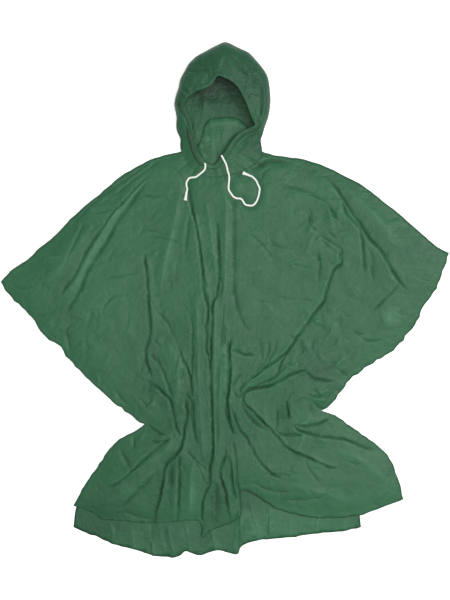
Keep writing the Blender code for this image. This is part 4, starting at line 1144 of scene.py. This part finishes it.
def build_hood():
    """The hood from its rings: the casing, the front out to the outline, and the back in to its centre.

    It returns the points in metres, the faces, and each point's two tones of painted light and shade,
    fold and layers.
    """
    count = len(face)
    order = neck_order(neck)
    knots = np.random.default_rng(9).uniform(-1, 1, count // 5) * HOOD_UNEVENNESS
    knots = np.interp(np.arange(count), np.linspace(0, count, len(knots)), knots)
    rim[~neck] += (unit(rim - face) * knots[:, None])[~neck]
    from_neck = np.abs(np.arange(count)[:, None] - order)
    from_neck = np.minimum(from_neck, count - from_neck).min(axis=1)
    flatness = np.clip(1 - from_neck / NECK_EASE, 0, 1)
    lap = HOOD_LAP * np.clip(1 - from_neck / HOOD_STATIONS, 0, 1)
    outward = unit(rim - face)
    width = np.linalg.norm(rim - face, axis=1)
    # painted shade on the turned-in layer
    tones = np.full((count, 2), CASING_SHADE)
    casing = [np.column_stack((face + outward * inset, face_z + drop - inset * CASING_TILT, tones))
              for inset, drop in CASING]
    over = hood_front(outward, width, lap, flatness)
    rings = [*casing, *over, *hood_back(order, over[-1][:, 2])]

    index = np.arange(len(rings) * count).reshape(len(rings), count)
    beside = np.roll(index, -1, axis=1)
    keep = np.ones((len(rings) - 1, count), dtype=bool)
    keep[len(casing) + len(over) - 1] = ~(neck & np.roll(neck, -1))
    sides = [part[keep] for part in (index[:-1], beside[:-1], beside[1:], index[1:])]
    faces = np.column_stack(sides).tolist()
    pole = len(rings) * count
    faces += [(a, b, pole) for a, b in zip(index[-1].tolist(), beside[-1].tolist())]
    points = np.vstack((*rings, (*HOOD_CENTRE, *rings[-1][:, 2:].mean(axis=0))))
    return points[:, :3] * MM, faces, points[:, 3], points[:, 4]


points, faces, tone, layers = build_hood()
hood_finish = calendered_pvc("calendered_pvc_green_crumpled", *SHEET_COLOURS, HOOD_CRUMPLE)
hood = new_object("hood_shell", points, faces, hood_finish, fold=tone, layers=layers)
wall = hood.modifiers.new("sheet", "SOLIDIFY")
wall.thickness = SHEET * MM
wall.offset = -1
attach(hood, "root")
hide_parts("hood")

# ----------------------------------------------------------------------------------------------------------
# Floor and light: a white table top lit faintly from below, one large soft light overhead, a smaller one from
# the upper right and an even white room.
# ----------------------------------------------------------------------------------------------------------
FLOOR = 6.0                  # metres
FLOOR_Z = -0.0004            # metres, a little below the poncho's underside
LAMPS = (                    # name, place, size in metres, power in watts
    ("overhead_lamp", (0.6, -0.5, 4.8), 3.8, 120.0),
    ("side_lamp", (2.6, 0.9, 4.1), 1.4, 98.0),
)
ROOM_LIGHT = 0.36

floor_finish = new_material(
    "opal_acrylic_white", Base_Color=linear("#FFFFFF"), Roughness=0.9, Specular_IOR_Level=0.2,
    Emission_Color=linear("#FFFFFF"), Emission_Strength=0.45)
half = FLOOR / 2
corners = ((-half, -half, FLOOR_Z), (half, -half, FLOOR_Z), (half, half, FLOOR_Z), (-half, half, FLOOR_Z))
floor = new_object("floor", corners, [(0, 1, 2, 3)], floor_finish)

for name, place, size, power in LAMPS:
    lamp_data = bpy.data.lights.new(name, "AREA")
    lamp_data.size = size
    lamp_data.energy = power
    lamp = bpy.data.objects.new(name, lamp_data)
    lamp.location = place
    lamp.rotation_euler = Vector(place).to_track_quat("Z", "Y").to_euler()
    bpy.context.scene.collection.objects.link(lamp)

world = bpy.data.worlds.new("room")
world.use_nodes = True
world.node_tree.nodes["Background"].inputs["Color"].default_value = linear("#FFFFFF")
world.node_tree.nodes["Background"].inputs["Strength"].default_value = ROOM_LIGHT
bpy.context.scene.world = world
bpy.context.scene.view_settings.view_transform = "Standard"
